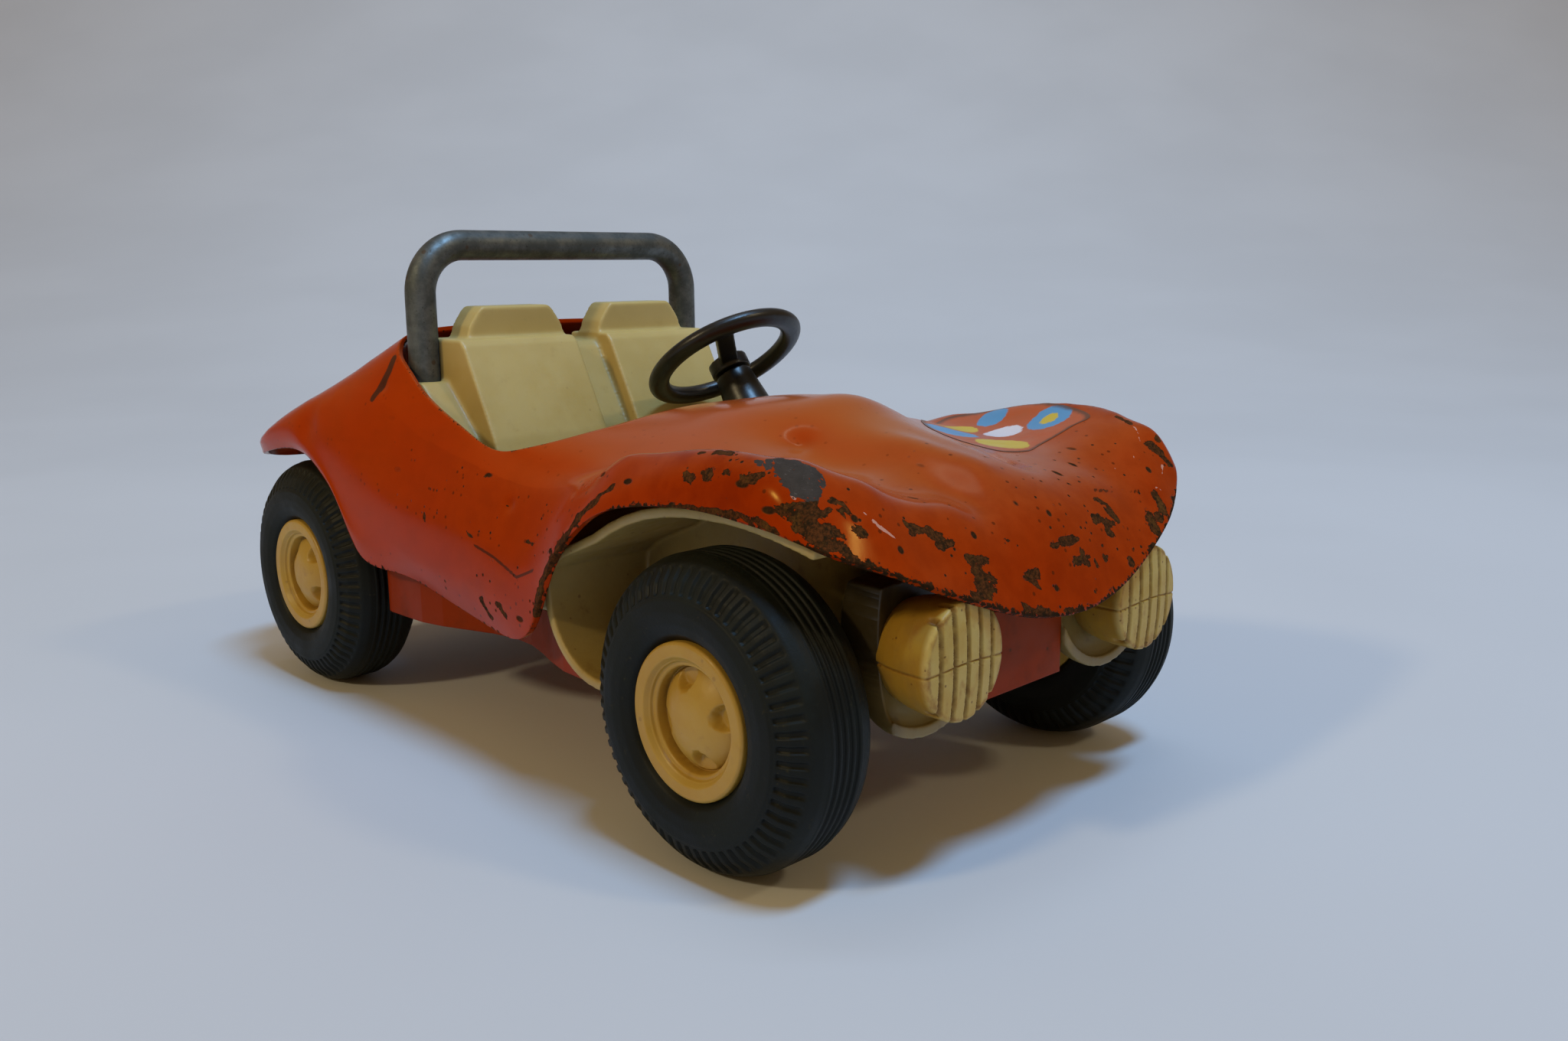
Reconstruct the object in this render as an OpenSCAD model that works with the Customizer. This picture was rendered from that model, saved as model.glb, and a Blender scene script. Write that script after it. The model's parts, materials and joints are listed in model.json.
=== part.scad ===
/* [Wheels and axles] */
// Distance between the front and rear axles
wheelbase = 94.9; // [88:0.1:110]
// Tyre outside diameter
tyre_d = 35; // [32:0.5:37]
// Tyre width
tyre_w = 13.1; // [11:0.1:14]
// How far each front tyre stands out past the fenders
front_stance = 1.9; // [1:0.1:3]
// How far each rear tyre sits in from the body's full width
rear_tuck = 0.8; // [0:0.1:1.2]
// Hub flange diameter
hub_d = 17.2; // [15:0.1:19]
// Axle rod diameter
axle_d = 3; // [2.4:0.1:3.6]
// Shoulder lugs round each side of a tyre
lug_count = 62; // [24:1:72]
// Depth of the notches between the lugs
lug_deep = 0.5; // [0.2:0.1:0.8]

/* [Pressed steel body] */
// Width over the front fenders
body_w = 70; // [68:0.5:76]
// Thickness of the pressed sheet
sheet = 0.8; // [0.6:0.1:1]
// Height of the nose lip above the front axle
nose_drop = 10; // [6:0.5:14]
// Rise of the hood over the valleys beside it
hood_rise = 3; // [0:0.5:5]

/* [Roll bar] */
// Tube diameter
bar_d = 4.3; // [3:0.1:4.6]
// Gap between each leg and the body's edge beside it
bar_inset = 1.15; // [0.8:0.05:1.6]
// Height of the tube's top centreline
bar_z = 67.4; // [62:0.1:80]
// Centreline radius of the two bends
bar_bend = 7; // [4:0.5:10]

/* [Headlamps] */
// Lens diameter
lamp_d = 12.8; // [10:0.1:13]
// From each front tyre's inner side in to the lamp's centre
lamp_inset = 6; // [5.8:0.1:7]
// Height of the lamp centres
lamp_z = 24.7; // [24:0.1:26]
// Upright grooves in each lens
lamp_grooves = 5; // [3:1:7]

/* [Steering] */
// Steering wheel outside diameter
steer_d = 24.6; // [20:0.2:26]
// Sideways place of the steering wheel
steer_x = 12.5; // [10:0.5:14]
// Lean of the column from the horizontal
steer_lean = 55; // [50:1:56]
// Room between the wheel's rim and the seat behind it
wheel_room = 0.4; // [0.2:0.1:4]

/* [Seats] */
// Width of one seat
seat_w = 19.5; // [16:0.5:20]
// Height of the seat cushion
cushion_z = 28.5; // [25:0.5:31]
// Height of the headrests over the seat backs
headrest_h = 4.5; // [3:0.5:6]

/* [Floor pan] */
// Height of the pan's underside
pan_z = 14.6; // [14:0.1:15]
// Half width of the pan at its wide ends
pan_half = 29.6; // [28:0.1:30]

/* [Drive unit] */
// Tooth module of the gears
gear_m = 0.5; // [0.5:0.01:0.52]
// Teeth on the axle gear
axle_teeth = 12; // [12:1:13]
// Teeth on the large idler gear
idler_teeth = 30; // [29:1:31]
// Teeth on the idler pinion
pinion_teeth = 10; // [10:1:11]
// Teeth on the spring barrel
barrel_teeth = 36; // [35:1:37]
// Wall of the drive case
case_wall = 1; // [0.8:0.1:1.2]
// Thickness of the mainspring strip
spring_t = 0.3; // [0.2:0.05:0.4]

/* [Hidden] */

// Clearances
run = 0.05;
fit = 0.02;
gap = 0.25;
round_fn = 64;

// Where the wheels stand
front_track = body_w + 2*front_stance;
rear_track = body_w - 2*rear_tuck;
tyre_r = tyre_d/2;
front_y = -wheelbase/2;
rear_y = wheelbase/2;
axle_z = tyre_r;
axle_r = axle_d/2;

// The body's rails are drawn for this chassis, and place() carries them with the axles
drawn_wheelbase = 94.9;
drawn_axle_z = 17.5;
middle = 15;
stretch = (wheelbase - drawn_wheelbase)/2;
lift = axle_z - drawn_axle_z;
function clamp(v, low, high) = min(max(v, low), high);
function shift_y(y) = y + stretch*clamp(y/middle, -1, 1);
function place(p) = [p.x*widen, shift_y(p.y), p.z + lift];

/* Rails of the pressed body, from the nose's centre round one side to the tail's centre.
   Each has a point at the same stations, so the sheet is lofted from one rail to the next. */
edge = [
    [0, -14, 46], [6, -14, 45.9], [12, -13.8, 45.3], [17.5, -13.4, 44.4], [22, -12.4, 43.6],
    [25.2, -10.4, 42.7], [27.2, -7.2, 41.8], [28.1, -3, 41], [28.3, 1, 41.5], [28.3, 7, 43.6],
    [28.2, 12.5, 45.6], [28, 17, 47.7], [27.6, 20.5, 49.9], [26.9, 24.6, 52.7], [23, 27.2, 55.2],
    [12, 27.5, 56], [0, 27.5, 56.2]];
flank = [
    [0, -31, 45 + hood_rise], [8, -31, 44.2 + hood_rise*0.87], [15, -30, 44.4], [20.5, -28.5, 42.6],
    [24, -25.5, 41.5], [26.3, -22, 40.8], [27.8, -18, 39.8], [29.3, -12.5, 38.4], [30.8, -4.5, 36.8],
    [31, 4, 37.2], [31, 13, 38.6], [31, 21, 41.4], [30.8, 28.5, 45], [29.2, 35.5, 48],
    [26, 41.5, 48], [14, 44, 47.6], [0, 44, 47.6]];
valley = [
    [0, -47, 42.2 + hood_rise], [8.8, -47, 40.8 + hood_rise*0.87], [17.3, -46, 41.6],
    [23, -43.5, 41.2], [26.3, -38, 41.5], [28, -33.5, 41.5], [29.4, -28, 40.6], [31, -20, 37.6],
    [32.6, -10.5, 31.5], [33, 2, 31], [33, 14, 32], [32.9, 25.5, 34.5], [32.8, 34.5, 40],
    [31.9, 43.5, 44], [28.8, 54, 42.4], [15.8, 57, 41.5], [0, 57, 41.5]];
crest = [
    [0, -59, 42.2], [9.5, -59, 41.2], [19, -58, 40.3], [26, -57.5, 43.2], [30.3, -52.5, 45.3],
    [30.9, -44, 45.3], [31.5, -34.5, 42.7], [32.9, -23.5, 36.6], [33.8, -13.5, 26.5], [33.4, 1, 25.5],
    [33.3, 15, 26.5], [33.3, 28.5, 28.5], [33.3, 37, 36], [33, 47.8, 41.3], [30.5, 62, 38.4],
    [16, 65.5, 38], [0, 65.5, 38]];
brow = [
    [0, -67, 37.2], [9.5, -66.5, 36.8], [19.5, -65, 37.2], [27.3, -63.6, 40.6], [33.3, -57.8, 43.4],
    [34.1, -47.5, 43.6], [34.3, -35.5, 40.5], [34.4, -24, 33.9], [34.2, -15, 23], [33, 0, 22.2],
    [32.8, 15.6, 24], [33.5, 28.2, 25.6], [33.5, 36.2, 34], [33.2, 48.2, 39], [30.8, 65.4, 36.2],
    [16, 70.4, 35], [0, 70.6, 34.8]];
lip = [
    [0, -72, 16.9 + nose_drop], [9.5, -71.4, 18.2 + nose_drop], [19.5, -69.9, 31.8], [27, -67.6, 35],
    [33.8, -62.6, 37.9], [35, -49, 39.9], [35, -34.5, 38.1], [34.8, -22.4, 31.1], [34.1, -15.2, 19.6],
    [32.2, -1, 19.2], [31.9, 16, 21.9], [33.1, 27.8, 22.9], [33.3, 34.8, 31.9], [32.7, 46.6, 37.3],
    [29.8, 66.8, 34.1], [16, 71.6, 33], [0, 72, 32.6]];
rails = [edge, flank, valley, crest, brow, lip];
widen = body_w/2/max([for (p = lip) p.x]);
last_station = len(edge) - 1;
station_steps = 3;
rail_steps = 3;

function mirrored(p) = [-p.x, p.y, p.z];
function station(k, i) =
    i < 0 ? mirrored(rails[k][-i]) :
    i > last_station ? mirrored(rails[k][2*last_station - i]) : rails[k][i];
function spline(a, b, c, d, t) =
    0.5*(2*b + (c - a)*t + (2*a - 5*b + 4*c - d)*t*t + (3*b - a - 3*c + d)*t*t*t);
function rail_at(k, u) = let (i = min(floor(u), last_station - 1))
    spline(station(k, i - 1), station(k, i), station(k, i + 1), station(k, i + 2), u - i);
function rail_ext(k, u) =
    k < 0 ? 2*rail_at(0, u) - rail_at(1, u) :
    k > len(rails) - 1 ? 2*rail_at(len(rails) - 1, u) - rail_at(len(rails) - 2, u) : rail_at(k, u);
function skin(u, v) = let (k = min(floor(v), len(rails) - 2))
    place(spline(rail_ext(k - 1, u), rail_ext(k, u), rail_ext(k + 1, u), rail_ext(k + 2, u), v - k));

half_columns = last_station*station_steps;
columns = 2*half_columns;
rows = (len(rails) - 1)*rail_steps + 1;
half_grid = [for (c = [0:half_columns]) [for (r = [0:rows - 1]) skin(c/station_steps, r/rail_steps)]];
outer_grid = [for (c = [0:columns - 1])
    c <= half_columns ? half_grid[c] : [for (p = half_grid[columns - c]) mirrored(p)]];
function unit(v) = v/norm(v);
function grid_normal(c, r) = let (
    along = outer_grid[(c + 1) % columns][r] - outer_grid[(c + columns - 1) % columns][r],
    across = outer_grid[c][min(r + 1, rows - 1)] - outer_grid[c][max(r - 1, 0)])
    unit(cross(across, along));
inner_grid = [for (c = [0:columns - 1]) [for (r = [0:rows - 1])
    outer_grid[c][r] - sheet*grid_normal(c, r)]];

module body_shell() {
    points = concat([for (col = outer_grid) each col], [for (col = inner_grid) each col]);
    far = columns*rows;
    function at(c, r) = (c % columns)*rows + r;
    faces = [for (c = [0:columns - 1]) each concat(
        [for (r = [0:rows - 2]) each [
            [at(c, r), at(c + 1, r), at(c + 1, r + 1)],
            [at(c, r), at(c + 1, r + 1), at(c, r + 1)],
            [far + at(c, r), far + at(c + 1, r + 1), far + at(c + 1, r)],
            [far + at(c, r), far + at(c, r + 1), far + at(c + 1, r + 1)]]],
        [for (r = [0, rows - 1]) each r == 0 ? [
            [at(c, r), far + at(c, r), far + at(c + 1, r)],
            [at(c, r), far + at(c + 1, r), at(c + 1, r)]] : [
            [at(c, r), far + at(c + 1, r), far + at(c, r)],
            [at(c, r), at(c + 1, r), far + at(c + 1, r)]]])];
    color([0.80, 0.30, 0.07]) polyhedron(points, faces);
}

/* Helpers */
function arc(cx, cy, r, a0, a1, n) = [for (i = [0:n]) let (a = a0 + (a1 - a0)*i/n)
    [cx + r*cos(a), cy + r*sin(a)]];
// A profile in the YZ plane, extruded along X from x0 to x1
module along_x(x0, x1) {
    translate([x0, 0, 0]) rotate([90, 0, 90]) linear_extrude(x1 - x0) children();
}
// A round bar along X
module bar_x(x0, x1, y, z, r) {
    translate([x0, y, z]) rotate([0, 90, 0]) cylinder(h = x1 - x0, r = r, $fn = round_fn);
}
module both_sides() {
    children();
    mirror([1, 0, 0]) children();
}

/* Floor pan: a pressed tray, waisted between the wheels, with a channel for each axle */
front_channel = 7.8;
rear_channel_room = 4.1;
rear_channel = rear_track/2 - tyre_w - rear_channel_room;
pan_floor = pan_z + sheet;
pan_waist = 25;
pan_wall_z = pan_z + 6.4;
channel_z = axle_z + 9;
nose_plate_y = front_y - 16.6;
tail_plate_y = rear_y + 16.2;
pan_front_y = front_y + 23;
pan_rear_y = rear_y - 18.2;
// Half width of the tray at y: narrow in the middle, full at the ends
function pan_edge(y) = let (t = clamp(abs(y - shift_y(0))/(pan_rear_y - 10), 0, 1))
    pan_waist + (pan_half - pan_waist)*t*t*(3 - 2*t);
module pan_plan(inset) {
    steps = 12;
    side = [for (i = [0:steps]) let (y = pan_front_y + (pan_rear_y - 3 - pan_front_y)*i/steps)
        [pan_edge(y) - inset, y + (i == 0 ? inset : 0)]];
    corner = arc(pan_half - 3, pan_rear_y - 3, 3 - inset, 0, 90, 6);
    half = concat(side, corner);
    polygon(concat(half, [for (i = [len(half) - 1:-1:0]) [-half[i].x, half[i].y]]));
}
// A channel with its lower edges broken and its nose raised, from y0 to y1
nose_run = 4;
module channel(half, top, y0, y1, inset, rise) {
    broken = 1.4;
    bottom = pan_z + inset;
    start = y0 + inset;
    end = y1 - inset;
    h = half - inset;
    c = broken - inset*0.6;
    intersection() {
        translate([0, end, 0]) rotate([90, 0, 0]) linear_extrude(end - start)
            polygon([[-h, top], [-h, bottom + c], [-h + c, bottom],
                     [h - c, bottom], [h, bottom + c], [h, top]]);
        along_x(-half - 1, half + 1)
            polygon([[start, bottom + rise], [start + nose_run, bottom], [end, bottom],
                     [end, top], [start, top]]);
    }
}
// The wheel well behind the front axle, as a cylinder across the car
well_y = front_y + 19.95;
well_r = 10.6;
well_z = pan_floor + well_r + fit;
nose_rise = 2;
module floor_pan() {
    over = 1;
    tray_in = 4;
    color([0.76, 0.28, 0.08]) difference() {
        union() {
            translate([0, 0, pan_z]) linear_extrude(pan_wall_z - pan_z) pan_plan(0);
            channel(front_channel, channel_z, nose_plate_y, pan_front_y + tray_in, 0, nose_rise);
            channel(rear_channel, channel_z, pan_rear_y - tray_in, tail_plate_y, 0, 0);
        }
        translate([0, 0, pan_floor]) linear_extrude(pan_wall_z) pan_plan(sheet);
        channel(front_channel, channel_z + over, nose_plate_y,
                pan_front_y + tray_in + 2*sheet, sheet, nose_rise);
        channel(rear_channel, channel_z + over, pan_rear_y - tray_in - 2*sheet, tail_plate_y, sheet, 0);
        intersection() {
            both_sides() bar_x(front_channel + gap, pan_half + over, well_y, well_z, well_r + gap);
            translate([-pan_half - over, pan_front_y - over, pan_floor]) cube([2*(pan_half + over), 20, 20]);
        }
        bar_x(-front_channel - over, front_channel + over, front_y, axle_z, axle_r + run);
        bar_x(-rear_channel - over, rear_channel + over, rear_y, axle_z, axle_r + run);
        // The drive case drops through the floor
        translate([-case_right_x - gap, foot_front_y - gap, pan_z - over])
            cube([case_left_x + case_right_x + 2*gap, foot_rear_y - foot_front_y + 2*gap, over + 2*sheet]);
        for (y = screw_ys) translate([0, y, pan_z]) sunk_hole(screw_r);
        for (x = case_screw_xs, y = case_screw_ys) translate([x, y, pan_z]) sunk_hole(case_screw_r);
    }
}

/* Countersunk screws, flush with the pan's underside, which is at z = 0 here */
sunk_reach = 1.9;
sunk_deep = sheet*0.75;
module sunk_hole(r) {
    translate([0, 0, -1]) cylinder(h = 1 + 2*sheet, r = r + run, $fn = round_fn);
    translate([0, 0, -1]) cylinder(h = 1 + fit, r = sunk_reach*r + run, $fn = round_fn);
    translate([0, 0, fit])
        cylinder(h = sunk_deep - fit, r1 = sunk_reach*r + run, r2 = r + run, $fn = round_fn);
}
module sunk_screw(r, long) {
    translate([0, 0, fit]) cylinder(h = sunk_deep - fit, r1 = sunk_reach*r, r2 = r, $fn = round_fn);
    translate([0, 0, 2*fit]) cylinder(h = long - 2*fit, r = r, $fn = round_fn);
}

/* Wheels: the axis lies along X, with the outer face at x = 0 and the wheel towards +X */
hub_r = hub_d/2;
tread_step = 0.35;
module tyre_profile() {
    w = tyre_w;
    half = [[hub_r + fit, 1.5], [hub_r + 0.9, 0.55], [hub_r + 2.6, 0], [tyre_r - 4, 0.1],
        [tyre_r - 2.2, 0.9], [tyre_r - 1.05, 2.1], [tyre_r - 0.35, 3.3], [tyre_r - 0.1, 4.3]];
    ribs = 5;
    land = (w - 8.6)/(2*ribs - 1);
    tread = [for (i = [0:2*ribs - 1]) each let (y = 4.3 + i*land, r = tyre_r - (i % 2 == 0 ? 0 : tread_step))
        i == 2*ribs - 1 ? [] : [[r, y], [r, y + land]]];
    back = [for (i = [len(half) - 1:-1:0]) [half[i].x, w - half[i].y]];
    polygon(concat(half, tread, back));
}
// One notch of the shoulder, beside the tyre's outer face
module lug_notch() {
    width = PI*tyre_d/lug_count*0.45;
    shoulder = [[0.1, -4], [0.9, -2.2], [2.1, -1.05], [3.3, -0.35]];
    floor_line = [for (p = shoulder) [p.x + 0.6*lug_deep, p.y - 0.8*lug_deep]];
    rotate([90, 0, 0]) linear_extrude(width, center = true)
        polygon([for (p = concat(floor_line, [[3.6, 1], [-1, 1], [-1, floor_line[0].y]]))
                 [p.x, tyre_r + p.y]]);
}
module tyre() {
    color([0.09, 0.11, 0.12]) difference() {
        rotate([0, 90, 0]) rotate_extrude($fn = round_fn) tyre_profile();
        for (i = [0:lug_count - 1]) rotate([i*360/lug_count, 0, 0]) {
            lug_notch();
            translate([tyre_w, 0, 0]) mirror([1, 0, 0]) lug_notch();
        }
    }
}
flange_step = 0.55;
cap_r = 4.9;
module hub() {
    w = tyre_w;
    face = flange_step;
    floor_t = face + 2.4;
    inner = w - 0.9;
    bore = axle_r + fit;
    profile = [[0, face + 0.1], [2.2, face + 0.2], [3.9, face + 0.7], [cap_r, face + 1.7],
        [cap_r, floor_t], [hub_r - 3.1, floor_t], [hub_r - 3.1, face + 0.9], [hub_r - 2.5, face + 0.9],
        [hub_r - 2.3, face], [hub_r - 0.3, face], [hub_r, face + 0.3], [hub_r, inner],
        [hub_r - 1.4, inner], [hub_r - 1.6, floor_t + 1.4], [3.4, floor_t + 1.4], [3.2, inner],
        [bore, inner], [bore, hub_bore_end], [0, hub_bore_end]];
    scallops = 4;
    color([0.87, 0.71, 0.43]) difference() {
        rotate([0, 90, 0]) rotate_extrude($fn = round_fn) polygon(profile);
        for (i = [0:scallops - 1]) rotate([45 + i*360/scallops, 0, 0]) translate([face - 1, 0, cap_r + 0.5])
            rotate([0, 90, 0]) cylinder(h = floor_t - face + 1, r = 1.7, $fn = round_fn);
    }
}
hub_bore_end = 4;
// Places a wheel with its outer face on the right side (side = -1) or the left (side = 1)
module wheel_at(side, track, y) {
    translate([side*track/2, y, axle_z]) rotate([0, 0, side < 0 ? 0 : 180]) children();
}
module axle_rod(track, y) {
    reach = track/2 - hub_bore_end - fit;
    color([0.45, 0.45, 0.46]) bar_x(-reach, reach, y, axle_z, axle_r);
}
sleeve_r = axle_r + 0.9;
module axle_sleeves(track, y, wall_x) {
    hub_x = track/2 - tyre_w + 0.9;
    color([0.75, 0.74, 0.70]) both_sides() difference() {
        bar_x(wall_x + gap, hub_x - fit, y, axle_z, sleeve_r);
        bar_x(wall_x, hub_x, y, axle_z, axle_r + fit);
    }
}
module front_axle() { axle_rod(front_track, front_y); }
module rear_axle() { axle_rod(rear_track, rear_y); }
module front_axle_sleeves() { axle_sleeves(front_track, front_y, front_channel); }
module rear_axle_sleeves() { axle_sleeves(rear_track, rear_y, rear_channel); }
module front_right_tyre() { wheel_at(-1, front_track, front_y) tyre(); }
module front_left_tyre() { wheel_at(1, front_track, front_y) tyre(); }
module rear_right_tyre() { wheel_at(-1, rear_track, rear_y) tyre(); }
module rear_left_tyre() { wheel_at(1, rear_track, rear_y) tyre(); }
module front_right_hub() { wheel_at(-1, front_track, front_y) hub(); }
module front_left_hub() { wheel_at(1, front_track, front_y) hub(); }
module rear_right_hub() { wheel_at(-1, rear_track, rear_y) hub(); }
module rear_left_hub() { wheel_at(1, rear_track, rear_y) hub(); }

/* Roll bar: one bent tube with its legs in sockets of the tub */
bar_r = bar_d/2;
bar_y = shift_y(22.3);
leg_x = place(rail_at(0, 12.35)).x - bar_inset - bar_r;
bar_foot_z = 30 + lift;
module roll_bar() {
    bend_z = bar_z + lift - bar_bend;
    color([0.28, 0.29, 0.30]) translate([0, bar_y, 0]) {
        both_sides() {
            translate([leg_x, 0, bar_foot_z]) cylinder(h = bend_z - bar_foot_z, r = bar_r, $fn = round_fn);
            translate([leg_x - bar_bend, 0, bend_z]) rotate([90, 0, 0])
                rotate_extrude(angle = 90, $fn = round_fn)
                    translate([bar_bend, 0]) circle(bar_r, $fn = round_fn);
        }
        bar_x(-leg_x + bar_bend, leg_x - bar_bend, 0, bend_z + bar_bend, bar_r);
    }
}

/* Headlamps and the moulded liners behind them */
lamp_r = lamp_d/2;
lamp_x = front_track/2 - tyre_w - lamp_inset;
lamp_face_y = front_y - 22;
lamp_axis_z = lamp_z + lift;
dish_x = lamp_x - 0.5;
dish_z = lamp_axis_z + 2.3;
dish_r = 11.6;
dish_depth = 8.6;
dish_rim_y = front_y - 17.1;
liner_t = 1.2;
dish_in = dish_r - liner_t;
dish_in_depth = dish_depth - liner_t;
dish_off = norm([lamp_x - dish_x, lamp_axis_z - dish_z]);
lamp_back_y = dish_rim_y + dish_in_depth*sqrt(1 - pow(dish_off/dish_in, 2)) - gap;
lamp_stud_r = 1.3;
module lamp_profile() {
    length = lamp_back_y - lamp_face_y;
    taper = [for (i = [0:10]) let (a = i*8.4) [lamp_r*pow(cos(a), 0.9), 1.4 + (length - 1.4)*sin(a)/sin(84)]];
    polygon(concat([[0, -0.5], [lamp_r*0.5, -0.38], [lamp_r - 0.5, 0], [lamp_r, 0.5]], taper,
        [[lamp_stud_r, length], [lamp_stud_r, length + liner_t + 1], [0, length + liner_t + 1]]));
}
module headlamp() {
    groove_w = 0.5;
    groove_deep = 0.45;
    mould_line = 0.25;
    pitch = lamp_d*0.8/lamp_grooves;
    color([0.87, 0.77, 0.52]) translate([lamp_x, lamp_face_y, lamp_axis_z]) difference() {
        rotate([-90, 0, 0]) rotate_extrude($fn = round_fn) lamp_profile();
        for (i = [0:lamp_grooves - 1]) translate([(i - (lamp_grooves - 1)/2)*pitch - groove_w/2, -1, -lamp_r])
            cube([groove_w, 1 + groove_deep, lamp_d]);
        // The mould line across the middle
        translate([-lamp_r, -1, -mould_line/2]) cube([lamp_d, 1 + mould_line, mould_line]);
    }
}
module left_headlamp() { headlamp(); }
module right_headlamp() { mirror([1, 0, 0]) headlamp(); }

// The arch's lower edge in the YZ plane at station u from the nose, moved in by d
lip_rail = len(rails) - 1;
function lip_yz(u) = let (p = place(rail_at(lip_rail, u))) [p.y, p.z];
function lip_in(u, d) = let (t = unit(lip_yz(u + 0.02) - lip_yz(u - 0.02))) lip_yz(u) + d*[t.y, -t.x];
liner_drop = 0.45;
arch_from = 4;
arch_to = 6.6;
arch_steps = 11;
function liner_line(d) = concat(
    [for (i = [0:arch_steps]) lip_in(arch_from + (arch_to - arch_from)*i/arch_steps, liner_drop + d)],
    [[well_y + (well_r - d)*cos(38) - 1.1, well_z + (well_r - d)*sin(38) - 1.3]],
    arc(well_y, well_z, well_r - d, 16, -96, 16));
liner_web_x = lamp_x - 1.8;
liner_out = 32.4*widen;
dish_side = front_track/2 - tyre_w - 0.6;
module dish_bowl(r, depth) {
    translate([dish_x, dish_rim_y, dish_z]) rotate([-90, 0, 0]) rotate_extrude($fn = round_fn)
        polygon(concat([[0, -1]], [[r, -1]], [for (i = [0:10]) let (a = i*9) [r*cos(a), depth*sin(a)]]));
}
// Keeps the dish between the pan's channel and the tyre
module dish_room(over) {
    intersection() {
        children();
        translate([front_channel + gap - over, dish_rim_y - over, pan_z])
            cube([dish_side - front_channel - gap + 2*over, dish_depth + 2*over, axle_z + 16 + over - pan_z]);
    }
}
module fender_liner() {
    outside = liner_line(0);
    inside = liner_line(liner_t);
    n = len(inside);
    deck = lamp_x + 6.2;
    web_z = pan_floor + 4;
    foot_y = pan_front_y + sheet + gap;
    foot_t = 1.5;
    color([0.82, 0.74, 0.54]) difference() {
        union() {
            along_x(liner_web_x, liner_out) polygon(concat(outside, [for (i = [n - 1:-1:0]) inside[i]]));
            along_x(liner_web_x, liner_web_x + liner_t)
                polygon(concat(outside, [[front_y + 12, web_z], [dish_rim_y + 3, web_z]]));
            dish_room(0) dish_bowl(dish_r, dish_depth);
            // A foot stands on the pan behind its front wall
            translate([liner_web_x, foot_y, pan_floor + fit])
                cube([liner_out - liner_web_x - 4.2, foot_t,
                      well_z - sqrt(pow(well_r, 2) - pow(foot_y - well_y, 2))
                    + 0.7 - pan_floor - fit]);
        }
        dish_room(1) dish_bowl(dish_in, dish_in_depth);
        // Clear of the hood's valley in front
        translate([0, front_y - 30, axle_z + 14.6]) cube([deck, 26, 20]);
        bar_x(0, 40, front_y, axle_z, sleeve_r + 0.4);
        translate([lamp_x, dish_rim_y, lamp_axis_z]) rotate([-90, 0, 0])
            cylinder(h = 12, r = lamp_stud_r + fit, $fn = round_fn);
    }
}
module left_fender_liner() { fender_liner(); }
module right_fender_liner() { mirror([1, 0, 0]) fender_liner(); }

/* Interior tub: one moulding with two bucket seats, dash, side walls and roll bar sockets */
tub_wall = 1.2;
tub_half = 28.1*widen;
tub_foot_half = pan_waist - sheet - gap - 0.4;
tub_foot_z = pan_floor + fit;
tub_front_y = shift_y(-16.2);
tub_rear_y = shift_y(24.6);
shelf_z = pan_wall_z + gap;
back_top = 54.3 + lift;
seat_x = 3 + seat_w/2;
seat_lift = cushion_z - 28.5;
// The seat back's face leans between these two points, clear of the steering wheel's rim
steer_y = shift_y(-1.1);
steer_z = 50.7 + lift;
back_low_z = 41 + lift;
back_lean = 6.5/12.4;
rim_low = [steer_y + steer_d/2*sin(steer_lean), steer_z - steer_d/2*cos(steer_lean)];
back_low = [rim_low.x + wheel_room - (rim_low.y - back_low_z)*back_lean, back_low_z];
back_high = back_low + (back_top - 0.9 - back_low_z)*[back_lean, 1];
// Side view of a seat, moved back by d and down by e
function seat_side(d, e) = [
    [tub_rear_y, tub_foot_z], [tub_rear_y, back_top - e], [back_high.x + 1 + d, back_top - e],
    back_high + [d, -e], back_low + [d, 0],
    [back_low.x - 3.3 + d, cushion_z + 4 + lift],
    [back_low.x - 4.7 + d, cushion_z + 1 + lift], [back_low.x - 6.7 + d, cushion_z + lift - e/4],
    [tub_front_y + 9.8 + d, cushion_z - 0.8 + lift - e/4],
    [tub_front_y + 8 + d, cushion_z - 2.6 + lift - e/4],
    [tub_front_y + 7.8 + d, tub_foot_z]];
module headrest() {
    base = seat_w*0.86;
    top = seat_w*0.58;
    deep = 5;
    ease = 0.9;
    translate([seat_x - 1.25, bar_y + 0.2, back_top - fit]) rotate([90, 0, 0]) linear_extrude(deep)
        polygon([[-base/2, 0], [-base/2 + 0.6, headrest_h*0.4], [-top/2 - ease, headrest_h - ease],
            [-top/2, headrest_h], [top/2, headrest_h], [top/2 + ease, headrest_h - ease],
            [base/2 - 0.6, headrest_h*0.4], [base/2, 0]]);
}
// The side wall carries the sill of the body, from the dash to the roll bar
function sill_drop(u) = sheet + 0.48 + 1.35*max(0, 7.3 - u) + 0.2*pow(max(0, u - 7.8), 1.9);
function sill_line() = [for (u = [4.4:0.4:13.2]) let (p = place(rail_at(0, u))) [p.y, p.z - sill_drop(u)]];
module tub_side() {
    line = [for (p = sill_line()) if (p.x > tub_front_y + 0.2 && p.x < tub_rear_y - 0.2) p];
    last = line[len(line) - 1];
    along_x(tub_half - tub_wall, tub_half)
        polygon(concat([[tub_front_y, shelf_z], [tub_front_y, line[0].y - 0.3]], line,
            [[tub_rear_y, last.y], [tub_rear_y, shelf_z]]));
    translate([leg_x, bar_y, shelf_z])
        cylinder(h = back_top - 7 - shelf_z, r = bar_r + tub_wall - 0.15, $fn = round_fn);
}
// The dash slopes square to the column, under the front edge of the opening
function dash_z(y) = steer_base.z - (y - steer_base.y)/tan(steer_lean);
function dash_y(z) = steer_base.y - (z - steer_base.z)*tan(steer_lean);
dash_back_y = tub_front_y + 12.6;
dash_top_z = 44.4 + lift;
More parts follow.
